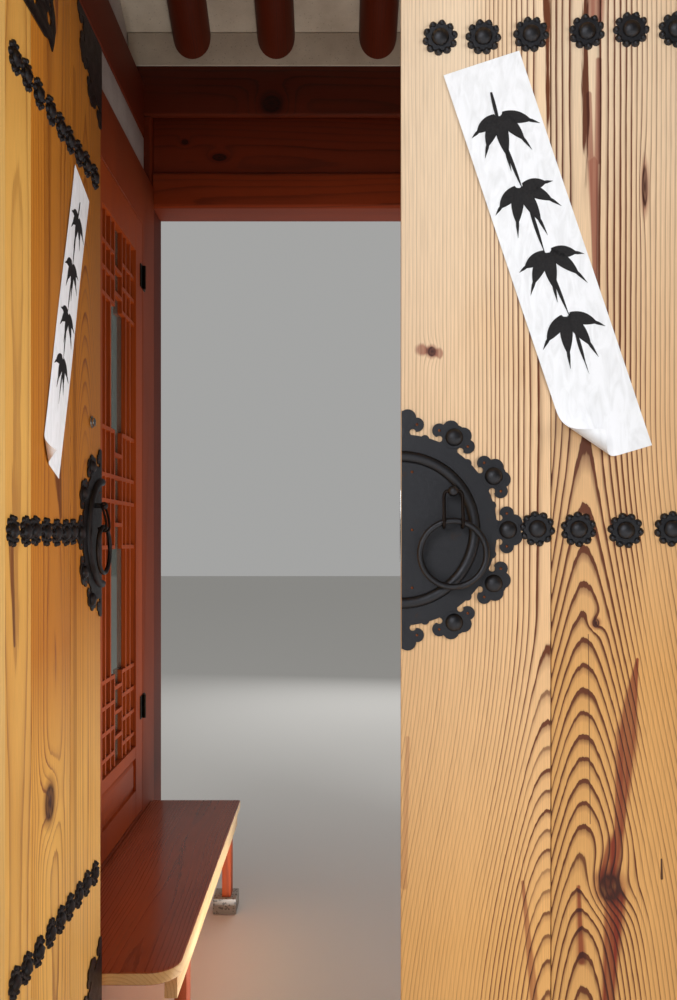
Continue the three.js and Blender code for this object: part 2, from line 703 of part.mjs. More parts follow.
// The fixed front leaf stands on two thin blocks on the sill.
function floorBlocks([y0, y1]) {
  const x = [-WALL_FACE - DOOR.thickness + 6, -WALL_FACE - 6];
  return [y0 + 30, y1 - 70].map((y) => block(x, [y, y + 40], [SILL_RAIL_TOP + SEAT, DOOR.bottom + 2]));
}

function glassSheet(y0, y1) {
  const behind = -WALL_FACE - LATTICE.back - LATTICE.depth - SEAT;
  return block(
    [behind, behind - GLASS],
    [y0 + DOOR.stile + SEAT, y1 - DOOR.stile - SEAT],
    [LATTICE.bottom + SEAT, LATTICE.top - SEAT],
  );
}

function buildLeftWall() {
  const face = -WALL_FACE;
  const x = [face - WALL_DEPTH, face];
  const reach = BAY_HALF_DEPTH - SEAT;
  const frontEdge = DOOR_REAR_EDGE - 2 * DOOR.width - MEETING_GAP;
  const jambs = [
    [DOOR_REAR_EDGE + DOOR_GAP, reach],
    [frontEdge - SEAT - DOOR_FRONT_JAMB, frontEdge - SEAT],
  ];
  const frame = joined([
    block(x, [-reach, reach], [PLINTH_TOP + SEAT, SILL_RAIL_TOP]),
    block(x, [-reach, reach], HEADER_RAIL),
    ...jambs.map((y) => block(x, y, [SILL_RAIL_TOP, HEADER_RAIL[0]])),
    ...hingePlatesOnJamb(),
  ]);
  add(root, "left_wall_frame", frame, lacqueredTimber);

  const plasterX = [face - PLASTER_SET_BACK, face - WALL_DEPTH + PLASTER_SET_BACK];
  const front = block(
    plasterX,
    [-reach, jambs[1][0] - SEAT],
    [SILL_RAIL_TOP + SEAT, HEADER_RAIL[0] - SEAT],
  );
  add(root, "left_wall_front_panel", front, plaster);
  const aboveX = [face - TOP_PANEL_SET_BACK, plasterX[1]];
  const above = block(aboveX, [-reach, reach], [HEADER_RAIL[1] + SEAT, SIDE_BEAM.bottom - SEAT]);
  add(root, "left_wall_top_panel", above, plaster);

  const leaves = [
    { name: "front_lattice", y: [frontEdge, frontEdge + DOOR.width] },
    { name: "rear_lattice", y: [DOOR_REAR_EDGE - DOOR.width, DOOR_REAR_EDGE] },
  ];
  for (const { name, y } of leaves) {
    const parts = latticeLeaf(...y);
    if (name === "rear_lattice") parts.push(...hingesOnDoor());
    if (name === "front_lattice") parts.push(...floorBlocks(y));
    add(root, `${name}_door`, joined(parts), lacqueredTimber);
    add(root, `${name}_glass`, glassSheet(...y), clearGlass);
  }
}

function buildRightWall() {
  const x = [WALL_FACE, WALL_FACE + WALL_DEPTH];
  const reach = BAY_HALF_DEPTH - SEAT;
  const end = reach - 70;
  const rails = [[PLINTH_TOP + SEAT, SILL_RAIL_TOP], MIDDLE_RAIL, HEADER_RAIL];
  const uprights = [-1, 1].flatMap((sign) => [
    [[sign * reach, sign * end], [SILL_RAIL_TOP, MIDDLE_RAIL[0]]],
    [[sign * reach, sign * end], [MIDDLE_RAIL[1], HEADER_RAIL[0]]],
  ]);
  const frame = joined([
    ...rails.map((z) => block(x, [-reach, reach], z)),
    ...uprights.map(([y, z]) => block(x, y, z)),
  ]);
  add(root, "right_wall_frame", frame, lacqueredTimber);
  const panels = {
    lower: { setBack: PLASTER_SET_BACK, y: end - SEAT, z: [SILL_RAIL_TOP, MIDDLE_RAIL[0]] },
    upper: { setBack: PLASTER_SET_BACK, y: end - SEAT, z: [MIDDLE_RAIL[1], HEADER_RAIL[0]] },
    top: { setBack: TOP_PANEL_SET_BACK, y: reach, z: [HEADER_RAIL[1], SIDE_BEAM.bottom] },
  };
  for (const [name, { setBack, y, z }] of Object.entries(panels)) {
    const plasterX = [WALL_FACE + setBack, WALL_FACE + WALL_DEPTH - PLASTER_SET_BACK];
    const panel = block(plasterX, [-y, y], [z[0] + SEAT, z[1] - SEAT]);
    add(root, `right_wall_${name}_panel`, panel, plaster);
  }
}

function buildBench() {
  const { from, to, wall, front, top, board, fascia } = BENCH;
  const corner = 70;
  const seat = new THREE.Shape();
  seat.moveTo(wall, from);
  seat.lineTo(front - corner, from);
  seat.absarc(front - corner, from + corner, corner, -Math.PI / 2, 0, false);
  seat.lineTo(front, to);
  seat.lineTo(wall, to);
  seat.closePath();
  const options = { depth: board, bevelEnabled: false, curveSegments: 8 };
  const seatBoard = new THREE.ExtrudeGeometry(seat, options).translate(0, 0, top - board);
  add(root, "bench_seat", seatBoard, benchTimber);

  const under = top - board - SEAT;
  const railBottom = under - fascia;
  const frontRail = block([front - 12, front - 42], [from + corner, to], [railBottom, under]);
  const wallRail = block([wall + 5, wall + 35], [from + 20, to], [railBottom, under]);
  const supports = [from + 240, to - 160].flatMap((y) => {
    const z = [50, under];
    return [
      block([wall + 8, wall + 33], [y - 32, y + 32], z),
      block([front - 44, front - 14], [y - 32, y + 32], z),
      block([wall + 6, front - 14], [y - 25, y + 25], [railBottom + 5, under - 5]),
      block([wall + 6, wall + 96], [y - 50, y + 50], [0, 51]),
      block([front - 74, front + 6], [y - 50, y + 50], [0, 51]),
    ];
  });
  add(root, "bench_frame", joined([frontRail, wallRail, ...supports]), benchTimber);
}

function slopeOutline(sign, lowerHeight, upperHeight, from, to, upperSteps = 1) {
  const points = [
    [sign * from, lowerHeight(from)],
    [sign * to, lowerHeight(to)],
  ];
  for (let i = 0; i <= upperSteps; i += 1) {
    const away = to + ((from - to) * i) / upperSteps;
    points.push([sign * away, upperHeight(away)]);
  }
  return points;
}

// The tiles' crest and trough line at one distance from the ridge line, from one gable to the other.
function tileSection(away) {
  const points = [];
  for (let row = 0; row < COVER_ROWS; row += 1) {
    const middle = (row - (COVER_ROWS - 1) / 2) * TILE_PITCH;
    const half = TILE_ROW.map(([across, depth]) => [across, tileTop(away) - depth]);
    const left = half.slice(1, row > 0 ? -1 : undefined).reverse();
    points.push(...left.map(([across, z]) => [middle - across, z]));
    points.push(...half.map(([across, z]) => [middle + across, z]));
  }
  const edge = tileTop(away) - TILE_ROW.at(-1)[1];
  return [[-TILE_HALF_SPAN, edge], ...points, [TILE_HALF_SPAN, edge]];
}

// A closed body through sections of equally many (x, z) points, each at its own distance from the ridge line.
function loft(sign, aways, section) {
  const rings = aways.map((away) => section(away).map(([x, z]) => [x, sign * away, z]));
  const count = rings[0].length;
  const cap = THREE.ShapeUtils.triangulateShape(rings[0].map(([x, , z]) => new THREE.Vector2(x, z)), []);
  const faces = [];
  const last = (rings.length - 1) * count;
  for (const [a, b, c] of cap) faces.push([a, b, c], [last + a, last + c, last + b]);
  for (let ring = 0; ring < last; ring += count) {
    for (let i = 0; i < count; i += 1) {
      const next = (i + 1) % count;
      faces.push([ring + i, ring + next, ring + count + i]);
      faces.push([ring + next, ring + count + next, ring + count + i]);
    }
  }
  const outward = sign > 0 ? faces : faces.map(([a, b, c]) => [a, c, b]);
  const geometry = new THREE.BufferGeometry();
  geometry.setAttribute("position", new THREE.BufferAttribute(new Float32Array(rings.flat(2)), 3));
  geometry.setIndex(outward.flat());
  return geometry;
}

function evenSteps(from, to, steps) {
  return Array.from({ length: steps + 1 }, (_, i) => from + ((to - from) * i) / steps);
}

// Plaster between the rafters, from a purlin's top up to the ceiling.
function purlinSeat(sign) {
  const inner = PURLIN_INNER + PURLIN_SEAT.inset;
  const outer = PURLIN_INNER + PURLIN_DEPTH - PURLIN_SEAT.inset;
  const reach = RAFTER_HALF_SPAN - PURLIN_SEAT.end;
  const under = (away) => rafterUnderside(away) + PURLIN_SEAT.lift;
  const top = (away) => soffitUnderside(away) + 5;
  return alongX(slopeOutline(sign, under, top, inner, outer), -reach, reach);
}

function buildRoof() {
  const start = SEAT;
  for (const { name, sign } of ENDS) {
    const soffit = alongX(
      slopeOutline(sign, soffitUnderside, soffitTop, start, SOFFIT_REACH),
      -RAFTER_HALF_SPAN,
      RAFTER_HALF_SPAN,
    );
    const rafters = [];
    for (const x of RAFTER_PLACES) {
      const run = RAFTER_REACH + 200;
      const length = run / Math.cos(THREE.MathUtils.degToRad(ROOF_SLOPE));
      const log = new THREE.CylinderGeometry(RAFTER_RADIUS, RAFTER_RADIUS, length, 14);
      log.rotateX(-sign * THREE.MathUtils.degToRad(ROOF_SLOPE));
      const middle = run / 2 - 100;
      log.translate(x, sign * middle, rafterUnderside(middle) + rafterRise);
      const window = block([x - 80, x + 80], [sign * start, sign * RAFTER_REACH], [2000, soffitUnderside(0) + 60]);
      rafters.push(common(log, window));
    }
    const pieces = [soffit, purlinSeat(sign), ...rafters];
    add(root, `${name}_rafters_and_soffit`, joined(pieces), redBrownTimber);

    // Under the main ridge the bed is filled up to the crest line, past it the tiles' rows stand free.
    const bedUnder = (away) => soffitTop(away) + SEAT;
    const ridgeEdge = MAIN_RIDGE.halfDepth;
    const filled = slopeOutline(sign, bedUnder, tileTop, start, ridgeEdge);
    const bed = alongX(filled, -TILE_HALF_SPAN, TILE_HALF_SPAN);
    const rows = loft(sign, evenSteps(ridgeEdge - 20, TILE_REACH, 8), (away) => [
      [TILE_HALF_SPAN, bedUnder(away)],
      [-TILE_HALF_SPAN, bedUnder(away)],
      ...tileSection(away),
    ]);
    const gableRidges = SIDES.map((side) => {
      const middle = side.sign * (TILE_HALF_SPAN - GABLE_RIDGE.width / 2);
      const half = GABLE_RIDGE.width / 2;
      const stations = evenSteps(ridgeEdge + SEAT, TILE_REACH - 30, 8);
      return loft(sign, stations, (away) => [
        [middle + half, tileTop(away) - GABLE_RIDGE.foot],
        [middle - half, tileTop(away) - GABLE_RIDGE.foot],
        ...GABLE_RIDGE_SECTION.map(([across, up]) => [middle - across, tileTop(away) + up]),
        ...GABLE_RIDGE_SECTION.slice(0, -1).reverse().map(([across, up]) => [middle + across, tileTop(away) + up]),
      ]);
    });
    add(root, `${name}_tile_slope`, joined([bed, rows, ...gableRidges]), roofTile);
  }

  const half = MAIN_RIDGE.halfDepth;
  const peak = tileTop(0) + MAIN_RIDGE.height;
  const ridge = [
    [-half, tileTop(half) + SEAT],
    [0, tileTop(0) + SEAT],
    [half, tileTop(half) + SEAT],
    ...MAIN_RIDGE_TOP.map(([y, drop]) => [y, peak - drop]),
    [0, peak],
    ...MAIN_RIDGE_TOP.map(([y, drop]) => [-y, peak - drop]).reverse(),
  ];
  const ridgeRun = alongX(ridge, -MAIN_RIDGE.halfLength, MAIN_RIDGE.halfLength);
  add(root, "main_ridge", ridgeRun, roofTile);

  for (const side of SIDES) {
    const x = sorted(
      side.sign * (RAFTER_HALF_SPAN + SEAT),
      side.sign * (RAFTER_HALF_SPAN + SEAT + BARGEBOARD.thickness),
    );
    const low = (away) => soffitTop(away) - BARGEBOARD.height;
    const board = [
      [-SOFFIT_REACH, low(SOFFIT_REACH)],
      [0, low(0)],
      [SOFFIT_REACH, low(SOFFIT_REACH)],
      [SOFFIT_REACH, soffitTop(SOFFIT_REACH)],
      [0, soffitTop(0)],
      [-SOFFIT_REACH, soffitTop(SOFFIT_REACH)],
    ];
    add(root, `${side.name}_bargeboard`, alongX(board, ...x), redBrownTimber);
  }
}

buildStones();
buildPosts();
buildBeams();
buildSideBeams();
buildGateFrame();
buildPivotBlocks();
buildLeaf(SIDES[0], LEFT_OPEN);
buildLeaf(SIDES[1], RIGHT_OPEN);
buildLeftWall();
buildRightWall();
buildBench();
buildRoof();

export default root;
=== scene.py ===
"""The gate bay of a Korean tiled-roof house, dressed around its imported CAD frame.

Everything is in metres: +X to the right seen from the street, +Y into the passage, +Z up.
Each sub-assembly is a class that holds its sizes, models its pieces by operators and dresses them.
"""

import logging
import math
import random
from collections.abc import Callable, Iterator, Sequence
from contextlib import contextmanager
from dataclasses import dataclass, field, replace
from enum import Enum
from functools import cache, partial

import bmesh
import bpy
from bpy.types import Material, Node, NodeSocket, NodeTree, Object
from mathutils import Matrix, Vector


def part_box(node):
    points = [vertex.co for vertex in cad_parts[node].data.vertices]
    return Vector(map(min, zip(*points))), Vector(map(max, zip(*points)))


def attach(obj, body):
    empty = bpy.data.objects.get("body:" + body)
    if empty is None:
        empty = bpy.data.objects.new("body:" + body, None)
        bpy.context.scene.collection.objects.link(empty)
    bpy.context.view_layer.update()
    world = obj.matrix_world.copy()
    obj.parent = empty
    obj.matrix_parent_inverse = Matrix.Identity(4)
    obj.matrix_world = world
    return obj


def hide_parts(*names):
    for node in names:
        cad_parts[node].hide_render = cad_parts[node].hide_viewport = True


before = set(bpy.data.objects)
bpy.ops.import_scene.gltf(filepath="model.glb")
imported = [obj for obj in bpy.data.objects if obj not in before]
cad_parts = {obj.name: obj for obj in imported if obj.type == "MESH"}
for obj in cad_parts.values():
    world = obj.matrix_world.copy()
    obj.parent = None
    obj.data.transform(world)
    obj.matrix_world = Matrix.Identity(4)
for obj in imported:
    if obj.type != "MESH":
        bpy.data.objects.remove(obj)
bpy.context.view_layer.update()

log = logging.getLogger("gate_bay")

Point = tuple[float, float, float]
Flat = tuple[float, float]
GATEHOUSE = "gatehouse"
# How far a piece stands off the face that it lies on, so that no two faces share a plane.
SEAT = 0.0003
# The turn of a model drawn on the plane Z = 0 so that its +Z faces the street.
FORWARD = Matrix.Rotation(math.pi / 2, 4, "X")


# Modelling steps


def take(*pieces: Object) -> None:
    """Selects only these pieces and makes the first one active.

    Args:
        *pieces: The pieces.
    """
    bpy.ops.object.select_all(action="DESELECT")
    for piece in pieces:
        piece.select_set(True)
    bpy.context.view_layer.objects.active = pieces[0]


def fresh(name: str) -> Object:
    """Names the primitive that was just added and moves its place into its mesh.

    Args:
        name: The piece's name.

    Returns:
        The piece, with its object at the origin.
    """
    piece = bpy.context.active_object
    piece.name = name
    piece.data.name = name
    take(piece)
    bpy.ops.object.transform_apply(location=True, rotation=True, scale=True)
    return piece


def cuboid(name: str, low: Sequence[float], high: Sequence[float]) -> Object:
    """Adds a cuboid between two corners.

    Args:
        name: The piece's name.
        low: One corner.
        high: The opposite corner.

    Returns:
        The piece.
    """
    bpy.ops.object.select_all(action="DESELECT")
    size = [abs(b - a) for a, b in zip(low, high)]
    middle = [(a + b) / 2 for a, b in zip(low, high)]
    bpy.ops.mesh.primitive_cube_add(size=1, location=middle, scale=size)
    return fresh(name)


def cylinder(name: str, radius: float, start: Point, end: Point, sides: int = 32) -> Object:
    """Adds a closed cylinder between the middles of its two ends.

    Args:
        name: The piece's name.
        radius: Its radius.
        start: The middle of one end.
        end: The middle of the other end.
        sides: How many sides it has.

    Returns:
        The piece.
    """
    bpy.ops.object.select_all(action="DESELECT")
    run = Vector(end) - Vector(start)
    turn = run.to_track_quat("Z", "Y").to_euler()
    middle = (Vector(start) + Vector(end)) / 2
    bpy.ops.mesh.primitive_cylinder_add(
        vertices=sides, radius=radius, depth=run.length, location=middle, rotation=turn
    )
    return fresh(name)


def dome(name: str, radius: float, height: float, foot: Point, sides: int = 20) -> Object:
    """Adds a flattened dome that stands on a face and rises towards +Z.

    Args:
        name: The piece's name.
        radius: The dome's radius at its foot.
        height: Its height above the foot.
        foot: The middle of its foot.
        sides: How many sides it has.

    Returns:
        The piece, closed at its foot.
    """
    bpy.ops.object.select_all(action="DESELECT")
    bpy.ops.mesh.primitive_uv_sphere_add(
        segments=sides, ring_count=max(6, sides // 2), radius=1, location=foot,
        scale=(radius, radius, height),
    )
    piece = fresh(name)
    with shaping(piece):
        bpy.ops.mesh.select_all(action="SELECT")
        bpy.ops.mesh.bisect(
            plane_co=foot, plane_no=(0, 0, 1), use_fill=True, clear_inner=True
        )
    return piece


@contextmanager
def shaping(piece: Object, mode: str = "FACE") -> Iterator[None]:
    """Opens a piece in edit mode with nothing selected, and closes it again.

    Args:
        piece: The piece to shape.
        mode: VERT, EDGE or FACE, what is selected.
    """
    take(piece)
    bpy.ops.object.mode_set(mode="EDIT")
    bpy.ops.mesh.select_mode(type=mode)
    bpy.ops.mesh.select_all(action="DESELECT")
    try:
        yield
    finally:
        bpy.ops.object.mode_set(mode="OBJECT")


def pick(piece: Object, parts: str, wanted: Callable[[object], bool]) -> None:
    """Selects parts of a piece that is open in edit mode.

    Args:
        piece: The piece.
        parts: "verts", "edges" or "faces".
        wanted: Says of each part whether it is selected.
    """
    shape = bmesh.from_edit_mesh(piece.data)
    for part in getattr(shape, parts):
        part.select_set(False)
    for part in getattr(shape, parts):
        if wanted(part):
            part.select_set(True)
    bmesh.update_edit_mesh(piece.data)


def upright(edge: bmesh.types.BMEdge) -> bool:
    """Whether an edge runs along Z."""
    a, b = (vert.co for vert in edge.verts)
    return abs(a.x - b.x) + abs(a.y - b.y) < 1e-5


def modify(piece: Object, kind: str, **settings: object) -> Object:
    """Adds a modifier to a piece and applies it.

    Args:
        piece: The piece.
        kind: The modifier's type.
        **settings: The modifier's settings.

    Returns:
        The piece.
    """
    take(piece)
    modifier = piece.modifiers.new(kind.title(), kind)
    for setting, value in settings.items():
        setattr(modifier, setting, value)
    bpy.ops.object.modifier_apply(modifier=modifier.name)
    return piece


def smoothed(piece: Object, degrees: float = 35) -> Object:
    """Shades a piece smooth where its faces meet at less than an angle.

    Args:
        piece: The piece.
        degrees: The angle.

    Returns:
        The piece.
    """
    take(piece)
    bpy.ops.object.shade_smooth_by_angle(angle=math.radians(degrees))
    return piece


def eased(piece: Object, width: float = 0.002, segments: int = 2, degrees: float = 30) -> Object:
    """Rounds a piece's sharp edges over.

    Args:
        piece: The piece.
        width: The width of the rounding.
        segments: How many faces it has.
        degrees: The angle past which an edge counts as sharp.

    Returns:
        The piece.
    """
    modify(
        piece, "BEVEL", width=width, segments=segments, limit_method="ANGLE",
        angle_limit=math.radians(degrees), use_clamp_overlap=True,
    )
    return smoothed(piece)


def copied(piece: Object, name: str, place: Matrix) -> Object:
    """Copies a piece with a mesh of its own and moves the copy.

    Args:
        piece: The piece to copy.
        name: The copy's name.
        place: The move from the piece to its copy.

    Returns:
        The copy.
    """
    twin = piece.copy()
    twin.data = piece.data.copy()
    twin.name = name
    bpy.context.scene.collection.objects.link(twin)
    twin.data.transform(place)
    if place.determinant() < 0:
        twin.data.flip_normals()
    return twin


def joined(name: str, pieces: Sequence[Object]) -> Object:
    """Joins pieces into one.

    Args:
        name: The joined piece's name.
        pieces: The pieces, which are used up.

    Returns:
        The joined piece.
    """
    take(*pieces)
    if len(pieces) > 1:
        bpy.ops.object.join()
    piece = bpy.context.active_object
    piece.name = name
    piece.data.name = name
    return piece


def repeated(name: str, model: Object, places: Sequence[Matrix]) -> Object:
    """Copies a model to each place, joins the copies and removes the model.

    Args:
        name: The joined piece's name.
        model: The model.
        places: The move from the model to each copy.

    Returns:
        The joined piece.
    """
    copies = [copied(model, f"{name}_{i}", place) for i, place in enumerate(places)]
    bpy.data.objects.remove(model)
    return joined(name, copies)


def cut_by(piece: Object, *tools: Object) -> Object:
    """Cuts tools out of a piece and removes them.

    Args:
        piece: The piece.
        *tools: Closed shapes, which are used up.

    Returns:
        The piece.
    """
    for tool in tools:
        modify(piece, "BOOLEAN", operation="DIFFERENCE", solver="MANIFOLD", object=tool)
        bpy.data.objects.remove(tool)
    return piece


def fused(name: str, pieces: Sequence[Object]) -> Object:
    """Unites closed pieces into one closed skin.

    Args:
        name: The united piece's name.
        pieces: The pieces, which are used up.

    Returns:
        The united piece.
    """
    first, *others = pieces
    for other in others:
        modify(first, "BOOLEAN", operation="UNION", solver="MANIFOLD", object=other)
        bpy.data.objects.remove(other)
    first.name = name
    first.data.name = name
    return first


def prism(name: str, outline: Sequence[Flat], axis: str, start: float, end: float) -> Object:
    """Draws an outline as one face and extrudes it along an axis.

    Args:
        name: The piece's name.
        outline: Points (y, z) for the axis "X", (x, z) for "Y" or (x, y) for "Z".
        axis: The axis that it runs along.
        start: Where it starts on the axis.
        end: Where it ends.

    Returns:
        The piece.
    """
    index = "XYZ".index(axis)
    points = []
    for a, b in outline:
        point = [a, b]
        point.insert(index, start)
        points.append(point)
    mesh = bpy.data.meshes.new(name)
    mesh.from_pydata(points, [], [list(range(len(points)))])
    piece = bpy.data.objects.new(name, mesh)
    bpy.context.scene.collection.objects.link(piece)
    run = [0.0, 0.0, 0.0]
    run[index] = end - start
    with shaping(piece):
        bpy.ops.mesh.select_all(action="SELECT")
        bpy.ops.mesh.extrude_region_move(TRANSFORM_OT_translate={"value": run})
        bpy.ops.mesh.select_all(action="SELECT")
        bpy.ops.mesh.normals_make_consistent(inside=False)
    return piece


def cut_off(piece: Object, *planes: tuple[Point, Point]) -> Object:
    """Cuts off and closes what lies past each plane.

    Args:
        piece: The piece.
        *planes: For each plane, a place on it and the way that it faces.

    Returns:
        The piece.
    """
    with shaping(piece):
        for place, normal in planes:
            bpy.ops.mesh.select_all(action="SELECT")
            bpy.ops.mesh.bisect(plane_co=place, plane_no=normal, use_fill=True, clear_outer=True)
    return piece


def turned_out(piece: Object) -> Object:
    """Turns the faces of a closed piece outwards."""
    with shaping(piece):
        bpy.ops.mesh.select_all(action="SELECT")
        bpy.ops.mesh.normals_make_consistent(inside=False)
    return piece


def dress(piece: Object, *looks: Material) -> None:
    """Gives a piece these looks in place of those that it has."""
    piece.data.materials.clear()
    for look in looks:
        piece.data.materials.append(look)


def middle_of(node: str) -> Point:
    """The middle of a CAD node's box."""
    low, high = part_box(node)
    return tuple((low + high) / 2)


def eased_node(node: str, width: float = 0.002, segments: int = 2) -> Object:
    """Copies a CAD node, merges its loose triangles and rounds its edges over.

    Args:
        node: The CAD node's name.
        width: The width of the rounding.
        segments: How many faces it has.

    Returns:
        The new piece, named after the node.
    """
    piece = bpy.data.objects.new(f"{node}_eased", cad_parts[node].data.copy())
    bpy.context.scene.collection.objects.link(piece)
    with shaping(piece, "VERT"):
        bpy.ops.mesh.select_all(action="SELECT")
        bpy.ops.mesh.customdata_custom_splitnormals_clear()
        bpy.ops.mesh.remove_doubles(threshold=1e-5)
        bpy.ops.mesh.dissolve_limited(angle_limit=math.radians(1))
    return eased(piece, width, segments)


def fit(
    piece: Object, material: Material | None, body: str, nodes: Sequence[str] = ()
) -> Object:
    """Dresses a finished piece and lets it ride on its body.

    Args:
        piece: The piece.
        material: Its finish, or None where it is already dressed.
        body: The CAD body that it rides on.
        nodes: The CAD nodes that it stands for.

    Returns:
        The piece.
    """
    if material is not None:
        dress(piece, material)
    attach(piece, body)
    if nodes:
        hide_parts(*nodes)
    log.info("%s: %d faces on %s", piece.name, len(piece.data.polygons), body)
    return piece


# Materials


def linear(colour: str) -> tuple[float, float, float, float]:
    """Turns an sRGB hex colour into linear values.

    Args:
        colour: The colour, such as "#c98430".

    Returns:
        Red, green, blue and a full alpha.
    """
    shares = [int(colour[i : i + 2], 16) / 255 for i in (1, 3, 5)]
    red, green, blue = (
        c / 12.92 if c <= 0.04045 else ((c + 0.055) / 1.055) ** 2.4 for c in shares
    )
    return red, green, blue, 1.0


def add_node(
    tree: NodeTree, kind: str, inputs: dict | None = None, stops: Sequence = (), **settings: object
) -> Node:
    """Adds a shader node with its settings, values and links.

    Args:
        tree: The material's node tree.
        kind: The node's type after "ShaderNode".
        inputs: For each input's name or number, a value or the output that feeds it.
        stops: A colour ramp's places and colours, or greys.
        **settings: The node's own settings.

    Returns:
        The node.
    """
    made = tree.nodes.new("ShaderNode" + kind)
    for setting, value in settings.items():
        setattr(made, setting, value)
    for key, value in (inputs or {}).items():
        if isinstance(value, NodeSocket):
            tree.links.new(value, made.inputs[key])
        else:
            made.inputs[key].default_value = value
    for i, (place, colour) in enumerate(stops):
        stop = made.color_ramp.elements[i] if i < 2 else made.color_ramp.elements.new(place)
        stop.position = place
        stop.color = colour if isinstance(colour, tuple) else (colour, colour, colour, 1)
    return made


def blank(name: str) -> tuple[Material, NodeTree]:
    """Makes an empty node material.

    Args:
        name: The material's name.

    Returns:
        The material and its node tree.
    """
    material = bpy.data.materials.new(name)
    material.use_nodes = True
    material.node_tree.nodes.clear()
    return material, material.node_tree


def close(
    tree: NodeTree, colour: NodeSocket, roughness: NodeSocket | float, height: NodeSocket | None,
    relief: float = 0.001, strength: float = 0.5, **constants: float,
) -> None:
    """Ends a material in a Principled shader.

    Args:
        tree: The material's node tree.
        colour: The base colour.
        roughness: The roughness, as a number or an output.
        height: The relief from 0 to 1, or None.
        relief: How deep the whole relief is, in metres.
        strength: How strongly the relief shows.
        **constants: Shader inputs that are the same all over, with _ for a space.
    """
    inputs = {"Base Color": colour, "Roughness": roughness}
    for name, value in constants.items():
        inputs[name.replace("_", " ")] = value
    if height is not None:
        bump = add_node(tree, "Bump", {"Height": height, "Distance": relief, "Strength": strength})
        inputs["Normal"] = bump.outputs[0]
    surface = add_node(tree, "BsdfPrincipled", inputs)
    add_node(tree, "OutputMaterial", {"Surface": surface.outputs[0]})


class Grain(Enum):
    """Which way a timber's grain runs, as the turn from upright."""

    UP = (0.0, 0.0, 0.0)
    ACROSS = (0.0, math.pi / 2, 0.0)
    INWARD = (-math.pi / 2, 0.0, 0.0)
    DOWN_FRONT = (math.radians(116.5), 0.0, 0.0)
    DOWN_REAR = (math.radians(-116.5), 0.0, 0.0)


@dataclass(frozen=True)
class Knot:
    """A knot on a board.

    Its place across and up the board and its radius are in metres. A slim below 1 draws it out
    along the grain.
    """

    across: float
    height: float
    radius: float
    slim: float = 0.8


@dataclass(frozen=True)
class Streak:
    """A resin streak or bark pocket between two places, with its half width at each."""

    start: Flat
    end: Flat
    width: float
    end_width: float
    share: float = 0.8
    bark: bool = False


@dataclass(frozen=True)
class Sawn:
    """How a board was sawn from its log, and what shows on its face.

    The heart is the log's middle in the board's own X and Y. Rings wander about it by the wander,
    and lengthwise says how fast they do so along the grain. The arches say between which heights
    the rings run out through the face, and by how much. Bold and pitch scale the lines' contrast
    and spacing, fading gives the distances from the heart between which they weaken, and darker
    the heights between which the wood turns to its warm tone.
    """

    heart: Flat = (0.03, 0.22)
    wander: float = 0.012
    seed: float = 0.0
    knots: tuple[Knot, ...] = ()
    streaks: tuple[Streak, ...] = ()
    lengthwise: float = 1.1
    arches: tuple[float, float, float] = (0.0, 1.0, 0.0)
    bold: float = 1.0
    pitch: float = 1.0
    fading: Flat = (1.0, 2.0)
    darker: Flat = (-2.0, -3.0)


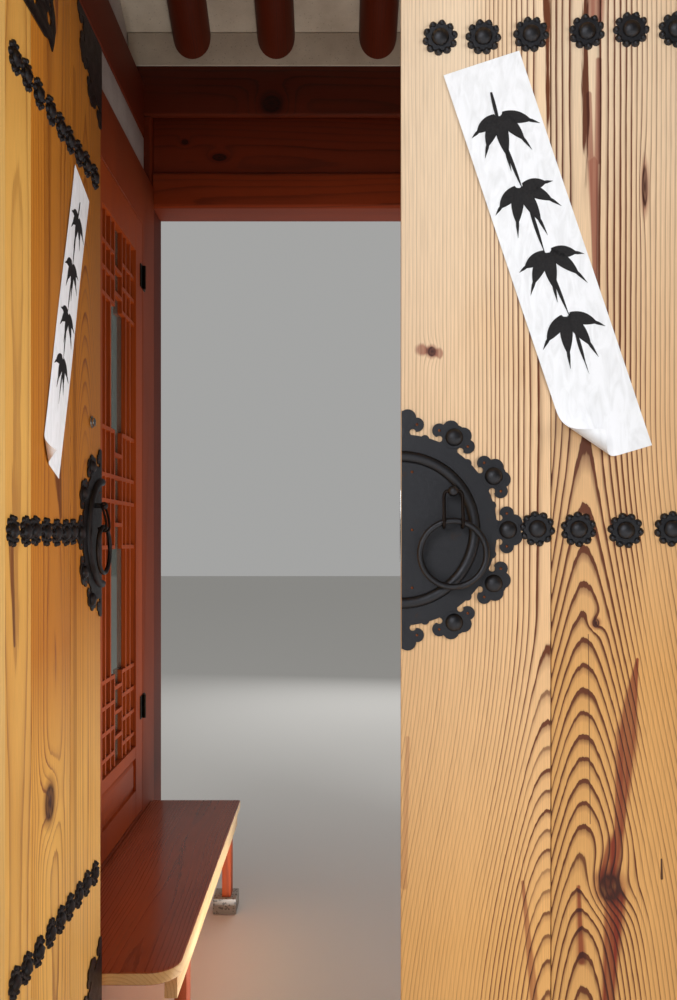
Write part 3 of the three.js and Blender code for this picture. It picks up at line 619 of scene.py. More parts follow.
@dataclass(frozen=True)
class Pine:
    """Planed softwood, coated clear or stained: growth rings, fibres, knots, resin streaks."""

    name: str
    early: str
    late: str
    warm: str
    streak: str
    knot: str
    ring: float = 0.0046
    contrast: float = 0.75
    roughness: float = 0.42
    coat: float = 0.25
    relief: float = 0.0006

    def board(
        self, label: str, sawn: Sawn, place: Point = (0, 0, 0), turn: Point = (0, 0, 0)
    ) -> Material:
        """Makes the look of one board.

        Args:
            label: The board's name.
            sawn: How it was sawn from its log.
            place: The board's own origin.
            turn: The turn of its own axes, whose Z runs along the grain.

        Returns:
            The material.
        """
        material, tree = blank(f"{self.name}_{label}")
        put = partial(add_node, tree)
        world = put("TexCoord").outputs["Object"]
        board = put(
            "Mapping", {"Vector": world, "Location": place, "Rotation": turn}, vector_type="TEXTURE"
        ).outputs[0]
        # The rings wander along the board over about a metre, and across it over about 200 mm.
        drift = put(
            "Mapping",
            {
                "Vector": board,
                "Location": (sawn.seed, 1.7 * sawn.seed, 0.3 * sawn.seed),
                "Scale": (4.5, 4.5, sawn.lengthwise),
            },
        ).outputs[0]
        # The roughness of the rings' edges, at a few millimetres.
        fine = put("Mapping", {"Vector": board, "Scale": (160, 160, 9)}).outputs[0]
        uneven = put("TexNoise", {"Vector": fine, "Scale": 1.0, "Detail": 3.0}).outputs[0]
        broad = put(
            "TexNoise", {"Vector": drift, "Scale": 1.6, "Detail": 1.0, "Distortion": 0.4}
        ).outputs[0]
        away, reach = self.from_heart(put, board, drift, sawn)
        reach, knots = self.bulged(put, board, reach, sawn.knots)
        shown = self.late_wood(put, away, reach, uneven, broad, sawn)
        ground = self.early_wood(put, board, broad, sawn)
        ringed = put(
            "Mix", {0: shown, 6: ground, 7: linear(self.late)}, data_type="RGBA"
        ).outputs[2]
        # Fibres a third of a millimetre across, drawn a millimetre across so that they show.
        fibre = put("Mapping", {"Vector": board, "Scale": (900, 900, 14)}).outputs[0]
        fibres = put("TexNoise", {"Vector": fibre, "Scale": 1.0, "Detail": 2.0}).outputs[0]
        shade = put("MapRange", {0: fibres, 1: 0.3, 2: 0.7, 3: 0.86, 4: 1.06}).outputs[0]
        colour = put(
            "Mix", {0: 1.0, 6: ringed, 7: shade}, data_type="RGBA", blend_type="MULTIPLY"
        ).outputs[2]
        colour = self.streaked(put, board, colour, sawn.streaks)
        colour = self.knotted(put, knots, uneven, colour)
        rough = put(
            "MapRange", {0: shown, 3: self.roughness + 0.06, 4: self.roughness - 0.08}
        ).outputs[0]
        height = put("Math", {0: shown, 1: 0.7}, operation="MULTIPLY").outputs[0]
        height = put("Math", {0: fibres, 1: 0.3, 2: height}, operation="MULTIPLY_ADD").outputs[0]
        close(
            tree, colour, rough, height, self.relief, 0.45,
            Coat_Weight=self.coat, Coat_Roughness=0.22, IOR=1.5,
        )
        return material

    def from_heart(
        self, put: Callable[..., Node], board: NodeSocket, drift: NodeSocket, sawn: Sawn
    ) -> tuple[NodeSocket, NodeSocket]:
        """Measures how far from its log's heart each place on a board lies.

        Args:
            put: Adds a node to the material.
            board: The place on the board.
            drift: The same place, stretched along the grain.
            sawn: How the board was sawn.

        Returns:
            The true distance, and the distance by which the rings are counted.
        """
        wander = put("TexNoise", {"Vector": drift, "Scale": 1.0, "Detail": 2.0, "Roughness": 0.45})
        moved = put("MapRange", {0: wander.outputs[0], 3: -sawn.wander, 4: sawn.wander}).outputs[0]
        heart = put(
            "VectorMath", {0: board, 1: (*sawn.heart, 0.0)}, operation="SUBTRACT"
        ).outputs[0]
        flat = put("VectorMath", {0: heart, 1: (1, 1, 0)}, operation="MULTIPLY").outputs[0]
        away = put("VectorMath", {0: flat}, operation="LENGTH").outputs["Value"]
        reach = put("Math", {0: away, 1: moved}, operation="ADD").outputs[0]
        low, high, taper = sawn.arches
        if taper:
            # Where the log tapers, its rings run out through the face as a stack of arches.
            up = put("SeparateXYZ", {0: board}).outputs[2]
            rise = put(
                "MapRange", {0: up, 1: low, 2: high, 4: taper}, interpolation_type="SMOOTHSTEP"
            ).outputs[0]
            reach = put("Math", {0: reach, 1: rise}, operation="ADD").outputs[0]
        return away, reach

    def bulged(
        self, put: Callable[..., Node], board: NodeSocket, reach: NodeSocket, knots: Sequence[Knot]
    ) -> tuple[NodeSocket, list[NodeSocket]]:
        """Bends the rings round a board's knots.

        Args:
            put: Adds a node to the material.
            board: The place on the board.
            reach: The distance by which the rings are counted.
            knots: The knots.

        Returns:
            The bent distance, and how far from each knot's middle a place lies, in its radius.
        """
        lengths = []
        for knot in knots:
            off = put(
                "VectorMath", {0: board, 1: (knot.across, 0, knot.height)}, operation="SUBTRACT"
            ).outputs[0]
            sized = put(
                "VectorMath", {0: off, 1: (1 / knot.radius, 0, knot.slim / knot.radius)},
                operation="MULTIPLY",
            ).outputs[0]
            length = put("VectorMath", {0: sized}, operation="LENGTH").outputs["Value"]
            square = put("Math", {0: length, 1: length}, operation="MULTIPLY").outputs[0]
            fading = put("Math", {0: square, 1: -0.22}, operation="MULTIPLY").outputs[0]
            swell = put("Math", {0: fading}, operation="EXPONENT").outputs[0]
            bulge = put("Math", {0: swell, 1: 1.1 * knot.radius}, operation="MULTIPLY").outputs[0]
            reach = put("Math", {0: reach, 1: bulge}, operation="ADD").outputs[0]
            lengths.append(length)
        return reach, lengths

    def late_wood(
        self, put: Callable[..., Node], away: NodeSocket, reach: NodeSocket, uneven: NodeSocket,
        broad: NodeSocket, sawn: Sawn,
    ) -> NodeSocket:
        """Draws the dark late wood at each ring's end.

        Args:
            put: Adds a node to the material.
            away: The true distance from the log's heart.
            reach: The distance by which the rings are counted.
            uneven: Noise of a few millimetres.
            broad: Noise of a hand's width.
            sawn: How the board was sawn.

        Returns:
            How much of the late wood's colour shows.
        """
        count = put(
            "Math", {0: reach, 1: 1 / (self.ring * sawn.pitch)}, operation="MULTIPLY"
        ).outputs[0]
        ragged = put("Math", {0: uneven, 1: 0.28, 2: count}, operation="MULTIPLY_ADD").outputs[0]
        phase = put("Math", {0: ragged}, operation="FRACT").outputs[0]
        # The late wood darkens slowly outwards through a ring and stops short at its end.
        ring_edge = put(
            "ValToRGB", {0: phase},
            stops=(
                (0.0, 0.1), (1.0, 0.1), (0.06, 0.02), (0.5, 0.06), (0.76, 0.42), (0.86, 1.0),
                (0.96, 1.0),
            ),
        ).outputs[0]
        number = put("Math", {0: ragged}, operation="FLOOR").outputs[0]
        lot = put("TexWhiteNoise", {"W": number}, noise_dimensions="1D").outputs[0]
        depth = put("MapRange", {0: lot, 3: 0.5, 4: 1.0}).outputs[0]
        late = put("Math", {0: ring_edge, 1: depth}, operation="MULTIPLY").outputs[0]
        fade = put("MapRange", {0: broad, 1: 0.3, 2: 0.6, 3: 0.55, 4: 1.0}).outputs[0]
        shown = put("Math", {0: late, 1: fade}, operation="MULTIPLY").outputs[0]
        # The lines are boldest where the saw ran nearest the log's heart.
        strength = self.contrast * sawn.bold
        near, far = sawn.fading
        boldness = put(
            "MapRange", {0: away, 1: near, 2: far, 3: strength, 4: 0.3 * strength}
        ).outputs[0]
        strong = put("Math", {0: shown, 1: boldness}, operation="MULTIPLY").outputs[0]
        return put("Math", {0: strong, 1: 0.97}, operation="MINIMUM").outputs[0]

    def early_wood(
        self, put: Callable[..., Node], board: NodeSocket, broad: NodeSocket, sawn: Sawn
    ) -> NodeSocket:
        """Mixes the wood's ground colour from pale and warm patches.

        Args:
            put: Adds a node to the material.
            board: The place on the board.
            broad: Noise of a hand's width.
            sawn: How the board was sawn.

        Returns:
            The colour between the rings' lines.
        """
        warmth = put("MapRange", {0: broad, 1: 0.4, 2: 0.8, 4: 0.6}).outputs[0]
        # The ground turns to the darker, warm tone between the heights that sawn.darker gives,
        # lower down on some boards and higher up on others.
        rise = put("SeparateXYZ", {0: board}).outputs[2]
        height_tone = put("MapRange", {0: rise, 1: sawn.darker[0], 2: sawn.darker[1]}).outputs[0]
        warmth = put("Math", {0: height_tone, 1: warmth, 2: 0.3}, operation="SMOOTH_MAX").outputs[0]
        warmth = put("Clamp", {0: warmth}).outputs[0]
        return put(
            "Mix", {0: warmth, 6: linear(self.early), 7: linear(self.warm)}, data_type="RGBA"
        ).outputs[2]

    def streaked(
        self, put: Callable[..., Node], board: NodeSocket, colour: NodeSocket,
        streaks: Sequence[Streak],
    ) -> NodeSocket:
        """Adds a board's resin streaks and bark pockets to its colour.

        Args:
            put: Adds a node to the material.
            board: The place on the board.
            colour: The colour so far.
            streaks: The streaks.

        Returns:
            The colour with its streaks.
        """
        if not streaks:
            return colour
        face = put("VectorMath", {0: board, 1: (1, 0, 1)}, operation="MULTIPLY").outputs[0]
        # Resin follows the fibres, so its stain comes and goes along them.
        along_grain = put("Mapping", {"Vector": board, "Scale": (110, 110, 2.5)}).outputs[0]
        threads = put("TexNoise", {"Vector": along_grain, "Scale": 1.0, "Detail": 2.0}).outputs[0]
        patchy = put("MapRange", {0: threads, 1: 0.3, 2: 0.6, 3: 0.7, 4: 1.0}).outputs[0]
        stained = 0.0
        for streak in streaks:
            start = Vector((streak.start[0], 0, streak.start[1]))
            run = Vector((streak.end[0], 0, streak.end[1])) - start
            along = put("VectorMath", {0: face, 1: tuple(start)}, operation="SUBTRACT").outputs[0]
            shares = put(
                "VectorMath", {0: along, 1: tuple(run / run.length_squared)},
                operation="DOT_PRODUCT",
            ).outputs["Value"]
            held = put("Clamp", {0: shares}).outputs[0]
            nearest = put(
                "VectorMath", {0: tuple(run), "Scale": held}, operation="SCALE"
            ).outputs[0]
            off = put("VectorMath", {0: along, 1: nearest}, operation="SUBTRACT").outputs[0]
            distance = put("VectorMath", {0: off}, operation="LENGTH").outputs["Value"]
            width = put("MapRange", {0: held, 3: streak.width, 4: streak.end_width}).outputs[0]
            sized = put("Math", {0: distance, 1: width}, operation="DIVIDE").outputs[0]
            ragged = put("Math", {0: threads, 1: 1.8, 2: sized}, operation="MULTIPLY_ADD")
            mask = put(
                "MapRange", {0: ragged.outputs[0], 1: 2.3, 2: 1.5, 4: streak.share},
                interpolation_type="SMOOTHSTEP",
            ).outputs[0]
            if streak.bark:
                colour = put(
                    "Mix", {0: mask, 6: colour, 7: linear(self.knot)}, data_type="RGBA"
                ).outputs[2]
            else:
                stained = put("Math", {0: mask, 1: stained}, operation="MAXIMUM").outputs[0]
        held_back = put("Math", {0: stained, 1: patchy}, operation="MULTIPLY").outputs[0]
        return put(
            "Mix", {0: held_back, 6: colour, 7: linear(self.streak)},
            data_type="RGBA", blend_type="MULTIPLY",
        ).outputs[2]

    def knotted(
        self, put: Callable[..., Node], knots: Sequence[NodeSocket], uneven: NodeSocket,
        colour: NodeSocket,
    ) -> NodeSocket:
        """Adds the knots' dark hearts and the stain round them.

        Args:
            put: Adds a node to the material.
            knots: How far from each knot's middle a place lies, in its radius.
            uneven: Noise of a few millimetres.
            colour: The colour so far.

        Returns:
            The colour with its knots.
        """
        for length in knots:
            core = put("MapRange", {0: length, 1: 1.08, 2: 0.82}).outputs[0]
            rim = put("MapRange", {0: length, 1: 1.7, 2: 1.0}).outputs[0]
            halo = put("Math", {0: rim, 1: 0.6}, operation="MULTIPLY").outputs[0]
            colour = put(
                "Mix", {0: halo, 6: colour, 7: linear(self.streak)},
                data_type="RGBA", blend_type="MULTIPLY",
            ).outputs[2]
            swirl = put("Math", {0: uneven, 1: 1.8, 2: length}, operation="MULTIPLY_ADD").outputs[0]
            turns = put("Math", {0: swirl, 1: 8.0}, operation="MULTIPLY").outputs[0]
            wave = put("Math", {0: turns}, operation="SINE").outputs[0]
            bands = put("MapRange", {0: wave, 1: -1.0, 3: 0.6, 4: 1.0}).outputs[0]
            dark = put("Math", {0: core, 1: bands}, operation="MULTIPLY").outputs[0]
            colour = put(
                "Mix", {0: dark, 6: colour, 7: linear(self.knot)}, data_type="RGBA"
            ).outputs[2]
        return colour


@dataclass(frozen=True)
class Mineral:
    """A matt mineral surface: blotches a hand wide over grains of its own size."""

    name: str
    light: str
    dark: str
    fleck: str
    grain: float
    fleck_share: float
    relief: float
    roughness: float = 0.9
    lift: float = 1.0

    @cache
    def look(self) -> Material:
        """Makes the finish's material, once.

        Returns:
            The material.
        """
        material, tree = blank(self.name)
        put = partial(add_node, tree)
        world = put("TexCoord").outputs["Object"]
        blotch = put(
            "TexNoise", {"Vector": world, "Scale": 5.0, "Detail": 4.0, "Roughness": 0.6}
        ).outputs[0]
        grains = put(
            "TexNoise", {"Vector": world, "Scale": 1 / self.grain, "Detail": 3.0, "Roughness": 0.65}
        ).outputs[0]
        cloud = put("MapRange", {0: blotch, 1: 0.3, 2: 0.7}).outputs[0]
        ground = put(
            "Mix", {0: cloud, 6: linear(self.light), 7: linear(self.dark)}, data_type="RGBA"
        ).outputs[2]
        spot = put("TexVoronoi", {"Vector": world, "Scale": 0.6 / self.grain}).outputs["Color"]
        lot = put("SeparateColor", {0: spot}).outputs[0]
        flecks = put(
            "MapRange", {0: lot, 1: 1 - self.fleck_share, 2: 1 - 0.8 * self.fleck_share}
        ).outputs[0]
        faint = put("Math", {0: flecks, 1: 0.7}, operation="MULTIPLY").outputs[0]
        flecked = put(
            "Mix", {0: faint, 6: ground, 7: linear(self.fleck)}, data_type="RGBA"
        ).outputs[2]
        shade = put("MapRange", {0: grains, 1: 0.3, 2: 0.7, 3: 0.9, 4: 1.06}).outputs[0]
        colour = put(
            "Mix", {0: 1.0, 6: flecked, 7: shade}, data_type="RGBA", blend_type="MULTIPLY"
        ).outputs[2]
        height = put(
            "Math", {0: blotch, 1: self.lift, 2: grains}, operation="MULTIPLY_ADD"
        ).outputs[0]
        close(tree, colour, self.roughness, height, self.relief, 0.6)
        return material


@dataclass(frozen=True)
class ForgedIron:
    """Wrought iron with a black oil coat: hammer facets, and brown where hands and rain wear it."""

    name: str = "black_forged_iron"
    black: str = "#515257"
    brown: str = "#6e5444"
    worn: float = 0.12

    @cache
    def look(self) -> Material:
        """Makes the finish's material, once.

        Returns:
            The material.
        """
        material, tree = blank(self.name)
        put = partial(add_node, tree)
        world = put("TexCoord").outputs["Object"]
        patches = put(
            "TexNoise", {"Vector": world, "Scale": 45.0, "Detail": 4.0, "Roughness": 0.7}
        ).outputs[0]
        brown = put("MapRange", {0: patches, 1: 0.62, 2: 0.8, 4: self.worn * 5}).outputs[0]
        colour = put(
            "Mix", {0: brown, 6: linear(self.black), 7: linear(self.brown)}, data_type="RGBA"
        ).outputs[2]
        # Hammer facets about 7 mm across, and scale about 1 mm across.
        facets = put(
            "TexVoronoi", {"Vector": world, "Scale": 140.0}, feature="SMOOTH_F1"
        ).outputs[0]
        scale = put("TexNoise", {"Vector": world, "Scale": 900.0, "Detail": 2.0}).outputs[0]
        height = put("Math", {0: facets, 1: 0.8, 2: scale}, operation="MULTIPLY_ADD").outputs[0]
        rough = put("MapRange", {0: patches, 1: 0.3, 2: 0.7, 3: 0.36, 4: 0.52}).outputs[0]
        close(tree, colour, rough, height, 0.0005, 0.5, Metallic=1.0)
        return material


@dataclass(frozen=True)
class FiredTile:
    """Grey clay tile, smoke-fired: each tile a little lighter or darker, with a silver bloom."""

    name: str = "smoke_fired_tile"
    light: str = "#5d6265"
    dark: str = "#34383a"

    @cache
    def look(self) -> Material:
        """Makes the finish's material, once.

        Returns:
            The material.
        """
        material, tree = blank(self.name)
        put = partial(add_node, tree)
        world = put("TexCoord").outputs["Object"]
        tile = put("NewGeometry").outputs["Random Per Island"]
        smoke = put(
            "TexNoise", {"Vector": world, "Scale": 9.0, "Detail": 5.0, "Roughness": 0.65}
        ).outputs[0]
        mixed = put("Math", {0: tile, 1: 0.55, 2: smoke}, operation="MULTIPLY_ADD").outputs[0]
        share = put("MapRange", {0: mixed, 1: 0.35, 2: 1.15}).outputs[0]
        colour = put(
            "Mix", {0: share, 6: linear(self.dark), 7: linear(self.light)}, data_type="RGBA"
        ).outputs[2]
        clay = put("TexNoise", {"Vector": world, "Scale": 320.0, "Detail": 3.0}).outputs[0]
        rough = put("MapRange", {0: smoke, 3: 0.55, 4: 0.8}).outputs[0]
        close(tree, colour, rough, clay, 0.0006, 0.5)
        return material


@dataclass(frozen=True)
class MulberryPaper:
    """Hand-made mulberry paper: white, with long fibres pressed into it."""

    name: str = "mulberry_paper"
    white: str = "#f3f5fa"
    shadow: str = "#e4e6ea"

    @cache
    def look(self) -> Material:
        """Makes the finish's material, once.

        Returns:
            The material.
        """
        material, tree = blank(self.name)
        put = partial(add_node, tree)
        world = put("TexCoord").outputs["Object"]
        bent = put("Mapping", {"Vector": world, "Scale": (60, 60, 18)}).outputs[0]
        fibre = put(
            "TexNoise", {"Vector": bent, "Scale": 1.0, "Detail": 5.0, "Distortion": 1.5}
        ).outputs[0]
        share = put("MapRange", {0: fibre, 1: 0.42, 2: 0.72}).outputs[0]
        colour = put(
            "Mix", {0: share, 6: linear(self.white), 7: linear(self.shadow)}, data_type="RGBA"
        ).outputs[2]
        close(tree, colour, 0.85, fibre, 0.0002, 0.3, Sheen_Weight=0.1)
        return material


@dataclass(frozen=True)
class PlainCoat:
    """A thin even coat, such as ink, limewash, plate or glass, with a little unevenness."""

    name: str
    colour: str
    second: str
    roughness: float
    metallic: float = 0.0
    clear: float = 0.0
    grain: float = 0.004

    @cache
    def look(self) -> Material:
        """Makes the finish's material, once.

        Returns:
            The material.
        """
        material, tree = blank(self.name)
        put = partial(add_node, tree)
        world = put("TexCoord").outputs["Object"]
        cloud = put(
            "TexNoise", {"Vector": world, "Scale": 1 / self.grain, "Detail": 3.0}
        ).outputs[0]
        share = put("MapRange", {0: cloud, 1: 0.3, 2: 0.7}).outputs[0]
        colour = put(
            "Mix", {0: share, 6: linear(self.colour), 7: linear(self.second)}, data_type="RGBA"
        ).outputs[2]
        rough = put(
            "MapRange", {0: cloud, 3: self.roughness * 0.85, 4: self.roughness * 1.15}
        ).outputs[0]
        close(
            tree, colour, rough, cloud, 0.0001, 0.3,
            Metallic=self.metallic, Transmission_Weight=self.clear,
        )
        return material


# Planed pine boards rubbed with tinted oil: satin, nearly white early wood at the heart with broad
# flame-shaped late wood, and resin that has bled into brown streaks.
HONEY_PINE = Pine(
    "oiled_honey_pine", "#f4dcbe", "#5e2608", "#e0a864", "#963f33", "#3a140a",
    ring=0.0042, contrast=1.0, roughness=0.5, coat=0.1,
)
# Planed pine under many coats of oil: deeper orange, so the figure shows only as soft bands.
ORANGE_PINE = Pine(
    "oiled_orange_pine", "#e8b25a", "#85430f", "#bb7626", "#6e2e22", "#35100a",
    ring=0.0075, contrast=0.6, roughness=0.5, coat=0.0,
)
# Adzed and planed pine logs stained dark red-brown and matt with age: a low, wide grain in a
# near-black brown. A darker copy paints shade onto the highest timbers under the roof, and a
# lighter, redder copy paints light onto the lower beams, which are lit from the front and below.
DARK_TIMBER = Pine(
    "stained_dark_pine", "#6e2408", "#300c03", "#561a06", "#a34f45", "#140402",
    ring=0.009, contrast=0.7, roughness=0.55, coat=0.0,
)
PAINTED_SHADE_TIMBER = replace(
    DARK_TIMBER, name="stained_sooty_pine", early="#5a1c06", late="#280a02", warm="#461404"
)
PAINTED_LIGHT_TIMBER = replace(
    DARK_TIMBER, name="stained_brown_pine", early="#8c3410", late="#421305", warm="#6e2509"
)
# Door pine under thin red-brown lacquer: an even colour with a faint grain and a soft shine.
RED_TIMBER = Pine(
    "lacquered_red_pine", "#ad480f", "#6d2206", "#90340a", "#a34f45", "#2f0c03",
    ring=0.007, contrast=0.6, roughness=0.5, coat=0.0,
)
# The walls' framing, the same lacquer over coarser pine: darker, with wide bands.
WALL_TIMBER = Pine(
    "lacquered_wall_pine", "#8f3709", "#4c1705", "#762a07", "#a34f45", "#260803",
    ring=0.009, contrast=0.6, roughness=0.55, coat=0.0,
)
# Stained pine under clear varnish, polished by use: a warm brown with a sharp sheen over it. The
# wood's own brown is painted lighter, a painted reflection that stands in for part of the sheen.
BENCH_TIMBER_PAINTED_SHEEN = Pine(
    "varnished_bench_pine", "#b85a34", "#66281a", "#9a4426", "#a34f45", "#2a0b06",
    ring=0.008, contrast=0.55, roughness=0.25, coat=0.8,
)
# The bench's pale edge and rail, newer pine under clear varnish: a light gold with a glossy coat.
FASCIA_PINE = Pine(
    "varnished_fascia_pine", "#f6cf96", "#c98a4c", "#e8b266", "#a34f45", "#3b1405",
    ring=0.008, contrast=0.6, roughness=0.3, coat=0.5,
)
# Fresh planed pine with one coat of oil, as in lintel and jambs: pale gold and nearly matt.
PALE_PINE = Pine(
    "oiled_pale_pine", "#e9bb6c", "#b0752f", "#dba24a", "#a34f45", "#5b2f14",
    ring=0.006, contrast=0.5, roughness=0.5, coat=0.1,
)
# Lime and sand floated by hand: matt, warm off-white, with cloudy patches and a sandy tooth.
LIME_PLASTER = Mineral(
    "lime_plaster", "#cfc8c4", "#b4aba7", "#a39a95", 0.002, 0.05, 0.0012, 0.93, 2.5
)
# Clay and lime pressed up between the rafters and smoked over the years: matt and yellower.
CEILING_PLASTER = Mineral(
    "smoked_plaster", "#cfc3af", "#ad9f8c", "#9c9080", 0.002, 0.02, 0.0016, 0.95, 2.5
)
# Granite dressed with a bush hammer: matt grey, pitted, with dark mica specks.
GRANITE = Mineral(
    "bush_hammered_granite", "#b2aea6", "#928e87", "#4b4a49", 0.004, 0.22, 0.0016, 0.85
)
# Raw clay packed under the tiles: matt brown with coarse lumps.
ROOF_CLAY = Mineral("roof_bed_clay", "#a2866a", "#7d654e", "#5e4a38", 0.005, 0.15, 0.003, 0.95)
# Lime mortar trowelled between the ridge tiles: matt, chalky white with a rough face.
ROOF_LIME = Mineral("ridge_lime_mortar", "#d5d0c6", "#b9b2a6", "#9b948a", 0.003, 0.08, 0.0016, 0.93)
# Hammered iron with oil burnt onto it: dark grey and dented, with rust-brown patches. The links are
# rubbed by the rings, so that more rust shows on them.
IRON = ForgedIron()
LINK_IRON = ForgedIron("rust_touched_iron", "#3a3330", "#7a4a30", 0.2)
# Grey clay tiles fired in smoke: silver-grey to charcoal with soft cloudy soot and a faint sheen.
TILE = FiredTile()
# Handmade mulberry paper pasted flat: bright white and matt with long fibres just visible.
PAPER = MulberryPaper()
# Ink made from soot, brushed on: almost black and matt, thinner where the brush ran dry.
INK = PlainCoat("brushed_ink", "#17171a", "#2a292b", 0.75, grain=0.003)
# Thin limewash over sawn end grain: chalky white, a little uneven.
LIMEWASH = PlainCoat("limewashed_wood_end", "#ecebe6", "#d9d6cd", 0.85, grain=0.006)
# Turned and polished steel of the lock: light grey with sharp reflections.
STEEL = PlainCoat("polished_steel", "#c9cbcc", "#aeb1b3", 0.22, metallic=1.0, grain=0.02)
# Cast bronze left to darken: greenish black with a dull metal shine.
HINGE_BRONZE = PlainCoat("aged_bronze_hinge", "#3a3d34", "#26241d", 0.4, metallic=1.0, grain=0.01)
# Drawn copper, hammered flat and rubbed: a warm red-brown metal.
COPPER = PlainCoat("copper_nail", "#a9694b", "#8a5038", 0.4, metallic=1.0, grain=0.002)
# Float glass with a grey-green tint: half clear and mirror smooth.
DOOR_GLASS = PlainCoat("tinted_door_glass", "#7f8a80", "#6d776e", 0.05, clear=0.55, grain=0.4)


# The gate leaves


class Side(Enum):
    """The gate's two leaves, by the way that each reaches from its pivot."""

    LEFT = 1
    RIGHT = -1

    @property
    def label(self) -> str:
        """The side as piece names say it."""
        return self.name.lower()


@dataclass(frozen=True)
class Flower:
    """A flower-headed nail: a domed head in a ring of beaded petals.

    Petals, beads and head are domes of a radius and a height.
    """

    reach: float = 0.0200
    base: float = 0.003
    petals: int = 10
    petal: Flat = (0.0066, 0.003)
    bead: Flat = (0.0046, 0.0042)
    bead_foot: float = 0.0018
    bead_out: float = 1.08
    head: Flat = (0.0132, 0.0088)
    head_foot: float = 0.0022

    def model(self) -> Object:
        """Models one nail on the plane Z = 0.

        Returns:
            The nail's head, closed.
        """
        rose = [cylinder("rose", self.reach, (0, 0, 0), (0, 0, self.base), 24)]
        for i in range(self.petals):
            turn = 2 * math.pi * i / self.petals
            x, y = self.reach * math.cos(turn), self.reach * math.sin(turn)
            rose.append(dome("petal", *self.petal, (x, y, 0), 12))
            out = (x * self.bead_out, y * self.bead_out, self.bead_foot)
            rose.append(dome("bead", *self.bead, out, 8))
        rose.append(dome("head", *self.head, (0, 0, self.head_foot), 24))
        return smoothed(joined("flower_nail", rose), 50)


@dataclass(frozen=True)
class Lobes:
    """How a plate's rim is cut: discs make a lobe, two holes its hooks, and nibs stand between.

    Each disc of a lobe is given by how far out from the boss circle it lies, its angle aside in
    degrees, its radius and its number of sides.
    """

    disc: float = 0.142
    circle: float = 0.158
    discs: tuple[tuple[float, float, float, int], ...] = (
        (-0.012, 0, 0.0155, 24), (0.0, 0, 0.019, 24),
        (0.0, -8.8, 0.0105, 20), (0.009, -3.6, 0.0125, 20),
        (0.0, 8.8, 0.0105, 20), (0.009, 3.6, 0.0125, 20),
    )
    hook_circle: float = 0.1465
    hook_aside: float = 7.0
    hook: float = 0.0046
    nib_circle: float = 0.139
    nib_aside: float = 15
    nib: float = 0.0065
    tack_aside: float = 8.8


# The straps at the pivot edge: distances from the pivot and from the leaf's end, and the holes'
# radii.
STRAP_OUTLINE = (
    (0.057, 0), (0.235, 0), (0.254, 0.016), (0.262, 0.034), (0.258, 0.048), (0.276, 0.060),
    (0.289, 0.082), (0.284, 0.100), (0.296, 0.118), (0.300, 0.142), (0.292, 0.168), (0.282, 0.188),
    (0.262, 0.176), (0.240, 0.183), (0.057, 0.184),
)
STRAP_HOLES = (
    (0.226, 0.026, 0.011), (0.250, 0.080, 0.013), (0.222, 0.118, 0.008), (0.262, 0.140, 0.011),
    (0.170, 0.040, 0.013), (0.142, 0.070, 0.009), (0.115, 0.040, 0.007), (0.186, 0.150, 0.009),
    (0.268, 0.112, 0.005),
)


